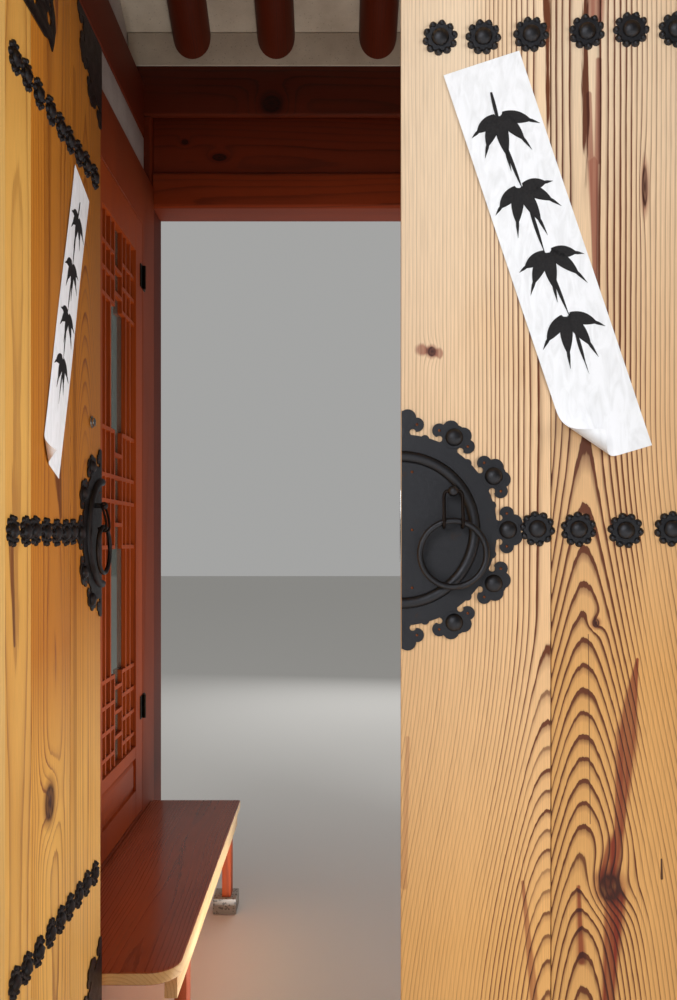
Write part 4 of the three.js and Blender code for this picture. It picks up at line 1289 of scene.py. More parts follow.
@dataclass
class GateLeaf:
    """One plank leaf of the gate with its battens, nails, plates, ring and paper strip."""

    side: Side
    pivot: Flat
    open_degrees: float
    nails: dict[float, tuple[float, ...]]
    planks: tuple[float, ...]
    sawn: tuple[Sawn, ...]
    pine: Pine
    paper: dict
    reach: float = 0.617
    half: float = 0.02
    bottom: float = 0.265
    top: float = 2.355
    board_gap: float = 0.001
    uneven: float = 0.0004
    row: float = 1.31
    row_step: float = 0.735
    pintle: float = 0.018
    pintle_ends: Flat = (0.21, 2.44)
    batten: Flat = (0.09, 0.055)
    batten_run: Flat = (0.04, 0.587)
    plate: float = 0.003
    lobes: Lobes = Lobes()
    plate_angles: tuple[float, ...] = (-90, -60, -30, 0, 30, 60, 90)
    moulding: Flat = (0.109, 0.0085)
    boss: Flat = (0.0135, 0.0095)
    boss_rim: Flat = (0.0165, 0.0014)
    tack: Flat = (0.0022, 0.0012)
    tack_column: Flat = (0.017, 0.086)
    eye: Point = (0.076, 0.056, 0.024)
    stud: float = 0.008
    link_half: float = 0.0135
    link_wire: float = 0.0025
    hook: float = 0.0082
    drop: float = 0.045
    ring: Flat = (0.048, 0.0045)
    lock: Flat = (0.076, 0.229)
    strike: Flat = (1.262, 1.37)
    body: str = field(init=False)
    place: Matrix = field(init=False)

    def __post_init__(self) -> None:
        """Works out the leaf's body and its place at rest."""
        self.body = f"{self.side.label}_gate_leaf"
        turn = math.radians(self.side.value * self.open_degrees)
        self.place = Matrix.Translation((*self.pivot, 0)) @ Matrix.Rotation(turn, 4, "Z")

    @property
    def turn(self) -> float:
        """The leaf's turn at rest about Z."""
        return math.radians(self.side.value * self.open_degrees)

    def inwards(self, distance: float) -> float:
        """The leaf's own X at a distance from its free edge."""
        return self.side.value * (self.reach - distance)

    def hung(
        self, piece: Object, material: Material, slot: str, nodes: Sequence[str] = (),
        body: str = "",
    ) -> Object:
        """Moves a piece from the leaf's own axes to its place, and fits it.

        Args:
            piece: The piece, modelled with the pivot at the origin.
            material: Its finish.
            slot: Not used.
            nodes: The CAD nodes that it stands for.
            body: The body, where it isn't the leaf's.

        Returns:
            The piece.
        """
        piece.data.transform(self.place)
        return fit(piece, material, body or self.body, nodes)

    def build(self) -> None:
        """Builds the whole leaf."""
        self.build_boards()
        self.build_battens()
        self.build_nails()
        self.build_ring_plate()
        self.build_corner_plates()
        self.build_ring()
        self.build_paper()
        if self.side is Side.LEFT:
            self.build_lock()
        else:
            self.build_strike()

    def build_boards(self) -> None:
        """Builds the upright boards, the rounded pivot edge and the pintles."""
        sign = self.side.value
        label = self.side.label
        gap = self.board_gap / 2
        edges = (0.0, *self.planks, self.reach)
        for i, (inner, outer) in enumerate(zip(edges, edges[1:])):
            near = -self.half if i == 0 else inner + gap
            board = cuboid(
                f"{label}_leaf_board_{i + 1}",
                (sign * near, -self.half, self.bottom),
                (sign * (outer - gap), self.half - self.uneven * (i % 2), self.top),
            )
            if i == 0:
                with shaping(board, "EDGE"):
                    pick(board, "edges", lambda e: upright(e) and sign * e.verts[0].co.x < 0)
                    bpy.ops.mesh.bevel(offset=self.half, segments=8, affect="EDGES")
            eased(board, 0.0014, 2)
            look = self.pine.board(
                f"{label}_{i + 1}", self.sawn[i], (*self.pivot, 0), (0, 0, self.turn)
            )
            self.hung(board, look, "gate_pine", [f"{label}_leaf"] if i == 0 else [])
        foot, head = self.pintle_ends
        for name, low, high in (("foot", foot, self.bottom), ("head", self.top, head)):
            pin = cylinder(f"{label}_pintle_{name}", self.pintle, (0, 0, low), (0, 0, high))
            look = self.pine.board(f"{label}_pintle_{name}", Sawn(seed=3.3), (*self.pivot, 0))
            self.hung(eased(pin, 0.003, 3), look, "gate_pine")

    def build_battens(self) -> None:
        """Builds the three battens across the back, with chamfered ends."""
        sign = self.side.value
        height, depth = self.batten
        start, end = self.batten_run
        for i in (-1, 0, 1):
            middle = self.row + i * self.row_step
            batten = cuboid(
                f"{self.side.label}_batten_{i + 2}",
                (sign * start, self.half + SEAT, middle - height / 2),
                (sign * end, self.half + depth, middle + height / 2),
            )
            with shaping(batten, "EDGE"):
                back = self.half + depth - 1e-4
                pick(batten, "edges", lambda e: all(v.co.y > back for v in e.verts))
                bpy.ops.mesh.bevel(offset=0.008, segments=1, affect="EDGES")
            look = self.pine.board(
                f"{self.side.label}_batten_{i + 2}", Sawn((0.05, 0.1), 0.01, 7.0 + i),
                (*self.pivot, middle), (0, math.pi / 2, self.turn),
            )
            self.hung(eased(batten, 0.0015, 2), look, "gate_pine")

    def build_nails(self) -> None:
        """Builds the rows of flower-headed nails, driven through the boards into the battens."""
        spin = random.Random(self.side.name)
        for step, distances in self.nails.items():
            places = []
            for distance in distances:
                own = Matrix.Rotation(spin.uniform(0, math.pi), 4, "Z")
                height = self.row + step + spin.uniform(-0.002, 0.002)
                at = Matrix.Translation((self.inwards(distance), -self.half, height))
                places.append(at @ FORWARD @ own)
            label = "middle" if not step else "top" if step > 0 else "bottom"
            row = repeated(f"{self.side.label}_{label}_nails", Flower().model(), places)
            self.hung(row, IRON.look(), "black_iron")

    def rim_place(self, height: float, away: float, degrees: float) -> Flat:
        """Finds a place on the leaf from a place on its free edge.

        Args:
            height: The height of the place on the edge.
            away: The distance from it.
            degrees: The angle above level.

        Returns:
            The place's X and Z in the leaf's own axes.
        """
        turn = math.radians(degrees)
        x = self.inwards(0) - self.side.value * away * math.cos(turn)
        return x, height + away * math.sin(turn)

    def lobed_plate(self, name: str, height: float, angles: Sequence[float]) -> Object:
        """Models a lobed plate round a place on the free edge.

        Args:
            name: The plate's name.
            height: The height of its centre.
            angles: The lobes' angles, in degrees above level.

        Returns:
            The plate, not yet cut along the leaf's edge.
        """
        face = -self.half
        lobes = self.lobes
        spots = [(0, 0, lobes.disc, 96)]
        for angle in angles:
            for out, aside, radius, sides in lobes.discs:
                spots.append((lobes.circle + out, angle + aside, radius, sides))
        for middle in {a + lobes.nib_aside for a in angles} | {a - lobes.nib_aside for a in angles}:
            spots.append((lobes.nib_circle, middle, lobes.nib, 16))
        parts = []
        for away, degrees, radius, sides in spots:
            x, z = self.rim_place(height, away, degrees)
            parts.append(
                cylinder("disc", radius, (x, face - self.plate, z), (x, face - SEAT, z), sides)
            )
        plate = fused(name, parts)
        holes = []
        for angle in angles:
            for aside in (-lobes.hook_aside, lobes.hook_aside):
                x, z = self.rim_place(height, lobes.hook_circle, angle + aside)
                holes.append(
                    cylinder("hook", lobes.hook, (x, face - 0.02, z), (x, face + 0.01, z), 16)
                )
        return cut_by(plate, joined("hooks", holes))

    def trimmed(self, plate: Object, low: float, high: float) -> Object:
        """Cuts a plate off along the leaf's free edge and its ends.

        Args:
            plate: The plate.
            low: The height of its lower end.
            high: The height of its upper end.

        Returns:
            The plate.
        """
        edge = (self.inwards(0.0015), 0, 0)
        return cut_off(
            plate,
            (edge, (self.side.value, 0, 0)),
            ((0, 0, low), (0, 0, -1)),
            ((0, 0, high), (0, 0, 1)),
        )

    def build_ring_plate(self) -> None:
        """Builds the half plate at the free edge with its moulding, bosses, tacks and stud."""
        label = self.side.label
        plate = self.lobed_plate(f"{label}_plate_sheet", self.row, self.plate_angles)
        self.trimmed(plate, self.bottom, self.top)
        eased(plate, 0.0008, 2, 50)
        self.hung(plate, IRON.look(), "black_iron", [f"{label}_ring_plate"])
        self.build_moulding()
        self.build_bosses()
        self.build_stud()

    def build_moulding(self) -> None:
        """Builds the half-round moulding hammered up round the plate's middle."""
        outer = -self.half - self.plate
        major, minor = self.moulding
        bpy.ops.object.select_all(action="DESELECT")
        bpy.ops.mesh.primitive_torus_add(
            major_radius=major, minor_radius=minor, major_segments=96, minor_segments=14,
            location=(self.inwards(0), outer, self.row), rotation=(math.pi / 2, 0, 0),
        )
        moulding = cut_off(
            fresh(f"{self.side.label}_plate_moulding"), ((0, outer + 0.0005, 0), (0, 1, 0))
        )
        self.trimmed(moulding, self.bottom, self.top)
        self.hung(smoothed(moulding, 50), IRON.look(), "black_iron")

    def build_bosses(self) -> None:
        """Builds a domed boss on each whole lobe, and the copper tacks that hold the plate."""
        label = self.side.label
        outer = -self.half - self.plate
        radius, thick = self.boss_rim
        boss = dome("boss", *self.boss, (0, 0, 0), 24)
        rim = cylinder("boss_rim", radius, (0, 0, 0), (0, 0, thick), 32)
        boss = smoothed(joined("boss", [boss, rim]), 50)
        bosses, tacks = [], []
        for degrees in self.plate_angles:
            if abs(degrees) < 90:
                bosses.append(self.rim_place(self.row, self.lobes.circle, degrees))
            for aside in (-self.lobes.tack_aside, self.lobes.tack_aside):
                if abs(degrees + aside) <= 85:
                    tacks.append(self.rim_place(self.row, self.lobes.circle, degrees + aside))
        distance, step = self.tack_column
        tacks += [(self.inwards(distance), self.row + up) for up in (-step, 0.0, step)]
        tack = smoothed(dome("tack", *self.tack, (0, 0, 0), 10), 60)
        for name, model, spots, look in (
            ("bosses", boss, bosses, IRON.look()), ("tacks", tack, tacks, COPPER.look()),
        ):
            places = [Matrix.Translation((x, outer, z)) @ FORWARD for x, z in spots]
            self.hung(repeated(f"{label}_plate_{name}", model, places), look, "black_iron")

    def build_stud(self) -> None:
        """Builds the ball stud with the eye that the link hangs in."""
        along, up, out = self.eye
        outer = -self.half - self.plate
        x, y, z = self.inwards(along), outer - out, self.row + up
        neck = cylinder("neck", 0.0052, (x, y, z), (x, outer + 0.001, z), 20)
        collar = cylinder("collar", 0.0085, (x, outer - 0.003, z), (x, outer, z), 24)
        bpy.ops.object.select_all(action="DESELECT")
        bpy.ops.mesh.primitive_uv_sphere_add(
            segments=28, ring_count=18, radius=self.stud, location=(x, y, z)
        )
        stud = fused(f"{self.side.label}_ring_stud", [fresh("ball"), neck, collar])
        hole = cylinder("eye_hole", 0.0036, (x - 0.02, y, z), (x + 0.02, y, z), 20)
        self.hung(smoothed(cut_by(stud, hole), 40), IRON.look(), "black_iron")

    def build_corner_plates(self) -> None:
        """Builds the quarter plates at the free corners and the straps at the pivot edge."""
        for end, height, angles in (
            ("foot", self.bottom, (0, 30, 60, 90)),
            ("head", self.top, (-90, -60, -30, 0)),
        ):
            plate = self.lobed_plate(f"{self.side.label}_corner_plate_{end}", height, angles)
            self.trimmed(plate, self.bottom + 0.002, self.top - 0.002)
            self.hung(eased(plate, 0.0008, 2, 50), IRON.look(), "black_iron")
            self.build_strap(end)

    def build_strap(self, end: str) -> None:
        """Builds one pierced strap at the pivot edge.

        Args:
            end: "foot" or "head".
        """
        face = -self.half
        sign = self.side.value
        start, down = (self.top - 0.002, -1) if end == "head" else (self.bottom + 0.002, 1)
        outline = [(sign * x, start + down * drop) for x, drop in STRAP_OUTLINE]
        strap = prism(f"{self.side.label}_strap_{end}", outline, "Y", face - 0.0025, face - SEAT)
        cuts = []
        for x, drop, radius in STRAP_HOLES:
            at = (sign * x, face - 0.02, start + down * drop)
            cuts.append(cylinder("cut", radius, at, (at[0], face + 0.01, at[2]), 20))
        cut_by(strap, joined("cuts", cuts))
        self.hung(eased(strap, 0.0007, 2, 50), IRON.look(), "black_iron")

    def build_ring(self) -> None:
        """Builds the pull ring and the wire link that it hangs from."""
        label = self.side.label
        along, up, out = self.eye
        x, y, z = self.inwards(along), -self.half - self.plate - out, self.row + up
        radius, wire = self.ring
        hung = math.sqrt(radius**2 - self.link_half**2)
        bpy.ops.object.select_all(action="DESELECT")
        bpy.ops.mesh.primitive_torus_add(
            major_radius=radius, minor_radius=wire, major_segments=96, minor_segments=18,
            location=(x, y, z - self.drop - hung), rotation=(math.pi / 2, 0, 0),
        )
        ring = smoothed(fresh(f"{label}_ring"), 60)
        self.hung(ring, IRON.look(), "black_iron", [f"{label}_pull_ring"], f"{label}_ring")

        # Each arm runs down from the eye, leans out and hooks round the ring's wire.
        arm = [(0, -0.005), (-self.hook * 0.5, -0.018), (-self.hook * 0.9, -0.031)]
        for degrees in range(0, 181, 30):
            turn = math.radians(degrees)
            arm.append((-self.hook * math.cos(turn), -self.drop - self.hook * math.sin(turn)))
        half = self.link_half
        points = [(-half, b, c) for b, c in reversed(arm)]
        points += [(a, 0, 0) for a in (-half + 0.003, -0.006, 0.006, half - 0.003)]
        points += [(half, b, c) for b, c in arm]
        line = [(x + a, y + b, z + c) for a, b, c in points]
        link = wire_along(f"{label}_link", line, self.link_wire)
        self.hung(link, LINK_IRON.look(), "black_iron", [f"{label}_ring_link"], f"{label}_link")

    def build_lock(self) -> None:
        """Builds the lock cylinder with its keyhole."""
        along, up = self.lock
        x, z = self.inwards(along), self.row + up
        face = -self.half
        turned = []
        for radius, front, back in ((0.0125, 0.003, SEAT), (0.0088, 0.008, 0.002)):
            disc = cylinder("disc", radius, (x, face - front, z), (x, face - back, z), 40)
            turned.append(eased(disc, 0.0008))
        collar, plug = turned
        low, high = (x - 0.0006, face - 0.012, z - 0.004), (x + 0.0006, face - 0.005, z + 0.004)
        lock = joined("lock_cylinder_face", [cut_by(plug, cuboid("slot", low, high)), collar])
        self.hung(lock, STEEL.look(), "chrome", ["lock_cylinder"])

    def build_strike(self) -> None:
        """Builds the steel plate let into the free edge where the bolt goes in."""
        x = self.inwards(0)
        low, high = self.strike
        plate = cuboid("strike_plate", (x - 0.0008, -0.012, low), (x + 0.002, 0.012, high))
        self.hung(eased(plate, 0.0006), STEEL.look(), "chrome")

    def build_paper(self) -> None:
        """Builds the pasted paper strip, its lifted corner and its brushed bamboo."""
        PaperStrip(leaf=self, **self.paper).build()


def wire_along(name: str, points: Sequence[Point], radius: float) -> Object:
    """Makes a round wire along a smooth line through points.

    Args:
        name: The wire's name.
        points: The points.
        radius: The wire's radius.

    Returns:
        The wire as a closed mesh.
    """
    curve = bpy.data.curves.new(name, "CURVE")
    curve.dimensions = "3D"
    curve.bevel_depth = radius
    curve.bevel_resolution = 4
    curve.resolution_u = 6
    curve.use_fill_caps = True
    line = curve.splines.new("NURBS")
    line.points.add(len(points) - 1)
    for point, at in zip(line.points, points):
        point.co = (*at, 1)
    line.use_endpoint_u = True
    line.order_u = 3
    wire = bpy.data.objects.new(name, curve)
    bpy.context.scene.collection.objects.link(wire)
    take(wire)
    bpy.ops.object.convert(target="MESH")
    wire = bpy.context.active_object
    with shaping(wire, "VERT"):
        bpy.ops.mesh.select_all(action="SELECT")
        bpy.ops.mesh.remove_doubles(threshold=1e-6)
        bpy.ops.mesh.normals_make_consistent(inside=False)
    return smoothed(wire, 60)


@dataclass
class PaperStrip:
    """A strip of mulberry paper pasted on a leaf, with a lifted corner and brushed bamboo."""

    leaf: GateLeaf
    start: Flat
    across: Flat
    down: Flat
    size: Flat
    fold: tuple[Flat, Flat]
    roll: float = 0.014
    ripple: Flat = (0.0007, 0.0006)
    paste: float = 0.0006
    cane: float = 0.0026
    blade: float = 0.0092

    def at(self, u: float, v: float, lift: float = 0.0) -> Point:
        """Where a place on the strip lies, in the leaf's own axes.

        Args:
            u: Across the strip, in metres.
            v: Down the strip, in metres.
            lift: How far in front of the paper.

        Returns:
            The place.
        """
        x = self.start[0] + self.across[0] * u + self.down[0] * v
        z = self.start[1] + self.across[1] * u + self.down[1] * v
        # Past the fold the paper curls up round a roll, away from the board.
        (ax, az), (bx, bz) = self.fold
        run = Vector((bx - ax, bz - az)).normalized()
        past = Vector((run.y, -run.x))
        if past.y > 0:
            past = -past
        beyond = (x - ax) * past.x + (z - az) * past.y
        least, more = self.ripple
        ripple = least + more * math.sin(9 * v / self.size[1] + 2.0 * u / self.size[0])
        edge = min(u, self.size[0] - u, v, self.size[1] - v) / 0.02
        ripple *= 0.4 + 0.6 * (1 - min(1.0, edge))
        out = ripple + lift
        if beyond > 0:
            angle = beyond / self.roll
            radius = self.roll - lift
            shift = radius * math.sin(angle) - beyond
            x += past.x * shift
            z += past.y * shift
            out = ripple + self.roll - radius * math.cos(angle)
        return (self.leaf.side.value * x, -self.leaf.half - out - self.paste, z)

    def shaped(self, piece: Object, lift: float) -> Object:
        """Lays a flat piece, drawn in (u, v), on the strip's surface.

        Args:
            piece: The piece.
            lift: How far in front of the paper it lies.

        Returns:
            The piece.
        """
        for vert in piece.data.vertices:
            vert.co = self.at(vert.co.x, vert.co.y, lift)
        piece.data.update()
        return piece

    def build(self) -> None:
        """Builds the paper and its brush strokes."""
        label = self.leaf.side.label
        width, length = self.size
        bpy.ops.object.select_all(action="DESELECT")
        bpy.ops.mesh.primitive_grid_add(
            x_subdivisions=24, y_subdivisions=120, size=1, location=(width / 2, length / 2, 0)
        )
        bpy.context.active_object.scale = (width, length, 1)
        sheet = self.shaped(fresh(f"{label}_paper_strip"), 0.0)
        turned_out(modify(sheet, "SOLIDIFY", thickness=0.0003, offset=0.0))
        self.leaf.hung(smoothed(sheet, 60), PAPER.look(), "plaster")
        strokes = [
            self.stroke(f"stroke_{i}", line, wide) for i, (line, wide) in enumerate(self.bamboo())
        ]
        ink = self.shaped(joined(f"{label}_brushed_bamboo", strokes), 0.0005)
        turned_out(modify(ink, "SOLIDIFY", thickness=0.0002, offset=0.0))
        self.leaf.hung(ink, INK.look(), "plaster")

    def bamboo(self) -> list[tuple[list[Flat], float]]:
        """Draws a bamboo cane with four sprays of hanging leaves.

        Returns:
            Each stroke's middle line, in shares of the strip's size, and its half width in metres.
        """
        strokes = []
        cane = [(0.50, 0.07), (0.46, 0.20), (0.50, 0.36), (0.50, 0.52), (0.55, 0.68), (0.54, 0.80)]
        for (ua, va), (ub, vb) in zip(cane, cane[1:]):
            middle = ((ua + ub) / 2 - 0.01, (va + vb) / 2)
            strokes.append(([(ua, va + 0.005), middle, (ub, vb - 0.005)], self.cane))
        sprays = (
            (0.50, 0.13, ((-68, 0.34), (-36, 0.44), (-6, 0.56), (26, 0.46), (62, 0.40))),
            (0.46, 0.31, ((-58, 0.36), (-20, 0.50), (12, 0.54), (48, 0.44), (84, 0.32))),
            (0.54, 0.48, ((-72, 0.34), (-40, 0.46), (-8, 0.50), (34, 0.48), (70, 0.34))),
            (0.50, 0.64, ((-52, 0.40), (-14, 0.52), (20, 0.50), (58, 0.38))),
        )
        for u, v, leaves in sprays:
            for degrees, length in leaves:
                turn = math.radians(degrees)
                across = 1.2 * length * math.sin(turn)
                down = 1.3 * length * math.cos(turn) * self.size[0] / self.size[1]
                start = (u + 0.04 * math.sin(turn), v + 0.006)
                middle = (start[0] + across * 0.55, start[1] + down * 0.40)
                end = (start[0] + across, start[1] + down)
                strokes.append(([start, middle, end], self.blade))
        return strokes

    def stroke(self, name: str, line: Sequence[Flat], wide: float) -> Object:
        """Draws one brush stroke as a tapered ribbon in (u, v).

        Args:
            name: The stroke's name.
            line: Start, middle and end, in shares of the strip's size.
            wide: Its half width at its fullest.

        Returns:
            The flat stroke.
        """
        (ua, va), (um, vm), (ub, vb) = ((u * self.size[0], v * self.size[1]) for u, v in line)
        steps = 14
        left, right = [], []
        for i in range(steps + 1):
            t = i / steps
            a, b, c = (1 - t) ** 2, 2 * t * (1 - t), t * t
            u, v = a * ua + b * um + c * ub, a * va + b * vm + c * vb
            du = 2 * (1 - t) * (um - ua) + 2 * t * (ub - um)
            dv = 2 * (1 - t) * (vm - va) + 2 * t * (vb - vm)
            size = math.hypot(du, dv)
            full = wide * (0.25 + 0.75 * math.sin(math.pi * min(1.0, 1.25 * t + 0.12)) ** 0.8)
            full *= 1.0 if t < 0.8 else max(0.06, (1 - t) / 0.2)
            left.append((u - dv / size * full, v + du / size * full, 0))
            right.append((u + dv / size * full, v - du / size * full, 0))
        mesh = bpy.data.meshes.new(name)
        n = steps + 1
        faces = [(i, i + 1, n + i + 1, n + i) for i in range(steps)]
        mesh.from_pydata(left + right, [], faces)
        piece = bpy.data.objects.new(name, mesh)
        bpy.context.scene.collection.objects.link(piece)
        return piece


# The building


@dataclass
class TimberFrame:
    """Posts, beams, boards and purlins, eased by hand plane."""

    ease: float = 0.003
    across: tuple[str, ...] = (
        "front_lower_beam", "front_middle_board", "front_purlin", "rear_lower_beam",
        "rear_middle_board", "rear_purlin", "ridge_purlin",
    )
    inward: tuple[str, ...] = ("left_side_beam", "right_side_beam")
    up: tuple[str, ...] = (
        "front_left_post", "front_right_post", "rear_left_post", "rear_right_post",
        "left_king_post", "right_king_post",
    )
    knots: dict[str, tuple[Knot, ...]] = field(default_factory=lambda: {
        "rear_middle_board": (Knot(0.045, -0.53, 0.014, 0.5), Knot(-0.013, -0.66, 0.010)),
        "rear_purlin": (Knot(0.05, -0.333, 0.034, 0.9),),
    })

    def build(self) -> None:
        """Builds each timber on the place of its CAD node."""
        runs = ((Grain.ACROSS, self.across), (Grain.INWARD, self.inward), (Grain.UP, self.up))
        for grain, names in runs:
            for i, name in enumerate(names):
                self.build_timber(name, grain, 1.3 * i + len(names))

    def build_timber(self, name: str, grain: Grain, seed: float) -> None:
        """Builds one timber.

        Args:
            name: The CAD node's name.
            grain: Which way its grain runs.
            seed: What sets its rings apart from other timbers'.
        """
        pine = DARK_TIMBER
        # Lower beams take the lighter copy, with painted light.
        if name.endswith("lower_beam"):
            pine = PAINTED_LIGHT_TIMBER
        # Purlins take the darker copy, with painted shade.
        elif name.endswith("purlin"):
            pine = PAINTED_SHADE_TIMBER
        sawn = Sawn((0.06, 0.16), 0.02, seed, self.knots.get(name, ()), (), 0.8)
        look = pine.board(name, sawn, middle_of(name), grain.value)
        fit(eased_node(name, self.ease, 3), look, GATEHOUSE, [name])


@dataclass
class GateFrame:
    """Threshold, lintel, jambs, transom, pivot rail and pivot blocks."""

    parts: tuple[tuple[str, Pine, Grain, str], ...] = (
        ("threshold", HONEY_PINE, Grain.ACROSS, "gate_pine"),
        ("gate_lintel", PALE_PINE, Grain.ACROSS, "pale_pine"),
        ("left_jamb", PALE_PINE, Grain.UP, "pale_pine"),
        ("right_jamb", PALE_PINE, Grain.UP, "pale_pine"),
        ("upper_pivot_rail", ORANGE_PINE, Grain.ACROSS, "gate_pine"),
        ("left_pivot_block", ORANGE_PINE, Grain.ACROSS, "gate_pine"),
        ("right_pivot_block", ORANGE_PINE, Grain.ACROSS, "gate_pine"),
    )

    def build(self) -> None:
        """Builds each piece on the place of its CAD node."""
        for i, (name, pine, grain, slot) in enumerate(self.parts):
            sawn = Sawn((0.02, 0.09), 0.014, 2.1 * i)
            look = pine.board(name, sawn, middle_of(name), grain.value)
            fit(eased_node(name), look, GATEHOUSE, [name])
        wall = eased_node("transom_wall", 0.001)
        fit(wall, LIME_PLASTER.look(), GATEHOUSE, ["transom_wall"])


@dataclass
class Stonework:
    """Dressed granite blocks under the walls and the gate.

    Each row is given by its CAD node, the axis that it runs along and its number of stones.
    """

    joint: float = 0.004
    shift: float = 0.08
    ease: float = 0.006
    rows: tuple[tuple[str, int, int], ...] = (
        ("left_plinth_stone", 1, 4), ("right_plinth_stone", 1, 4), ("front_sill_stone", 0, 2),
    )

    def build(self) -> None:
        """Builds each row of stones on the place of its CAD node."""
        for name, axis, count in self.rows:
            low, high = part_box(name)
            cuts = random.Random(name)
            step = (high[axis] - low[axis]) / count
            edges = [low[axis]]
            for i in range(1, count):
                edges.append(low[axis] + i * step + cuts.uniform(-self.shift, self.shift))
            edges.append(high[axis])
            stones = []
            for start, end in zip(edges, edges[1:]):
                a, b = list(low), list(high)
                a[axis] = start + (0 if start == low[axis] else self.joint / 2)
                b[axis] = end - (0 if end == high[axis] else self.joint / 2)
                stone = cuboid(f"{name}_{len(stones)}", a, b)
                with shaping(stone):
                    bpy.ops.mesh.select_all(action="SELECT")
                    bpy.ops.mesh.subdivide(number_cuts=3)
                stones.append(eased(stone, self.ease, 3))
            row = joined(f"{name}_row", stones)
            fit(row, GRANITE.look(), GATEHOUSE, [name])


@dataclass(frozen=True)
class HingeZone:
    """Where the lattice doors' hinges stand out of the left wall's face."""

    face: float = -0.774
    leeway: float = 0.0002
    start: float = 0.78

    def dress(self, piece: Object) -> None:
        """Dresses the faces that stand out of a door or its jamb in dark bronze.

        Args:
            piece: The door or the wall's frame.
        """
        piece.data.materials.append(HINGE_BRONZE.look())
        last = len(piece.data.materials) - 1
        for face in piece.data.polygons:
            low = min(piece.data.vertices[i].co.x for i in face.vertices)
            stands_out = low > self.face - self.leeway and face.center.x > self.face + self.leeway
            if stands_out and face.center.y > self.start:
                face.material_index = last


@dataclass
class SideWalls:
    """The passage's side walls: lacquered frames, lime plaster panels and gable walls.

    The rails are given by the heights between which they lie. The middle rail is on the right
    wall only.
    """

    rails: tuple[Flat, ...] = ((0.20, 0.3455), (2.4095, 2.611))
    middle_rail: Flat = (1.149, 1.2905)
    panels: tuple[str, ...] = (
        "left_wall_front_panel", "left_wall_top_panel", "right_wall_lower_panel",
        "right_wall_upper_panel", "right_wall_top_panel", "left_gable_wall", "right_gable_wall",
    )

    def build(self) -> None:
        """Builds frames and panels on the places of their CAD nodes."""
        self.build_frame("left_wall_frame", self.rails)
        self.build_frame("right_wall_frame", (*self.rails, self.middle_rail))
        for name in self.panels:
            fit(eased_node(name), LIME_PLASTER.look(), GATEHOUSE, [name])

    def build_frame(self, name: str, rails: Sequence[Flat]) -> None:
        """Builds a wall frame: its rails' grain runs inward and its posts' grain runs up.

        Args:
            name: The CAD node's name.
            rails: The heights between which its rails lie.
        """
        piece = eased_node(name)
        middle = middle_of(name)
        looks = []
        for label, seed, grain in (("rails", 4.0, Grain.INWARD), ("posts", 9.0, Grain.UP)):
            sawn = Sawn((0.05, 0.2), 0.016, seed)
            looks.append(WALL_TIMBER.board(f"{name}_{label}", sawn, middle, grain.value))
        dress(piece, *looks)
        for face in piece.data.polygons:
            in_rail = any(low <= face.center.z <= high for low, high in rails)
            face.material_index = 0 if in_rail else 1
        if name.startswith("left"):
            HingeZone().dress(piece)
        fit(piece, None, GATEHOUSE, [name])


@dataclass
class LatticeDoors:
    """The two lattice door leaves in the left wall, their glass and their bottom panels."""

    face: float = -0.774
    bottom_panel: Flat = (0.448, 0.544)
    panel_depth: Flat = (0.012, 0.0095)
    margin: float = 0.012

    def build(self) -> None:
        """Builds both leaves."""
        for label, body, seed in (("front", GATEHOUSE, 5.0), ("rear", "rear_lattice_leaf", 8.5)):
            name = f"{label}_lattice_door"
            piece = eased_node(name, 0.0012, 1)
            dress(piece, RED_TIMBER.board(name, Sawn((0.03, 0.12), 0.012, seed), middle_of(name)))
            HingeZone().dress(piece)
            fit(piece, None, body, [name])
            dress(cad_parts[f"{label}_lattice_glass"], DOOR_GLASS.look())
            self.build_panel(label, body)

    def build_panel(self, label: str, body: str) -> None:
        """Builds the raised field of the bottom panel.

        Args:
            label: "front" or "rear".
            body: The body that the leaf rides on.
        """
        glass_low, glass_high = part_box(f"{label}_lattice_glass")
        bottom, top = self.bottom_panel
        back, front = self.panel_depth
        panel = cuboid(
            f"{label}_door_raised_panel",
            (self.face - back, glass_low.y + self.margin, bottom),
            (self.face - front, glass_high.y - self.margin, top),
        )
        with shaping(panel):
            pick(panel, "faces", lambda f: f.normal.x > 0.9)
            bpy.ops.mesh.inset(thickness=0.012, depth=0.006)
        eased(panel, 0.001, 2)
        middle = (self.face, (glass_low.y + glass_high.y) / 2, (bottom + top) / 2)
        sawn = Sawn((0.0, 0.06), 0.01, 3.0)
        look = RED_TIMBER.board(f"{label}_panel", sawn, middle, Grain.INWARD.value)
        fit(panel, look, body)


@dataclass
class Bench:
    """The varnished bench along the left wall: brown seat, pale edge and rail, red-brown legs."""

    rail_underside: float = 0.24
    stone_top: float = 0.0508

    def build(self) -> None:
        """Builds the seat and what carries it."""
        middle = middle_of("bench_seat")
        inward, up = Grain.INWARD.value, Grain.UP.value
        # The seat's brown is painted lighter, as painted sheen of its varnish.
        brown = BENCH_TIMBER_PAINTED_SHEEN.board("seat", Sawn((0.05, 0.07), 0.02, 2.0), middle, inward)
        legs = WALL_TIMBER.board("legs", Sawn((0.02, 0.05), 0.012, 4.0), middle, up)
        pale = FASCIA_PINE.board("rails", Sawn((0.02, 0.08), 0.012, 6.0), middle, inward)
        seat = eased_node("bench_seat", 0.005, 3)
        dress(seat, brown, pale)
        for face in seat.data.polygons:
            face.material_index = int(abs(face.normal.z) < 0.5)
        fit(seat, None, GATEHOUSE, ["bench_seat"])
        support = eased_node("bench_frame", 0.0025)
        dress(support, pale, legs, GRANITE.look())
        for face in support.data.polygons:
            height = face.center.z
            stone = height < self.stone_top or (height < 0.1 and face.normal.z > 0.5)
            face.material_index = 2 if stone else int(height < self.rail_underside)
        fit(support, None, GATEHOUSE, ["bench_frame"])


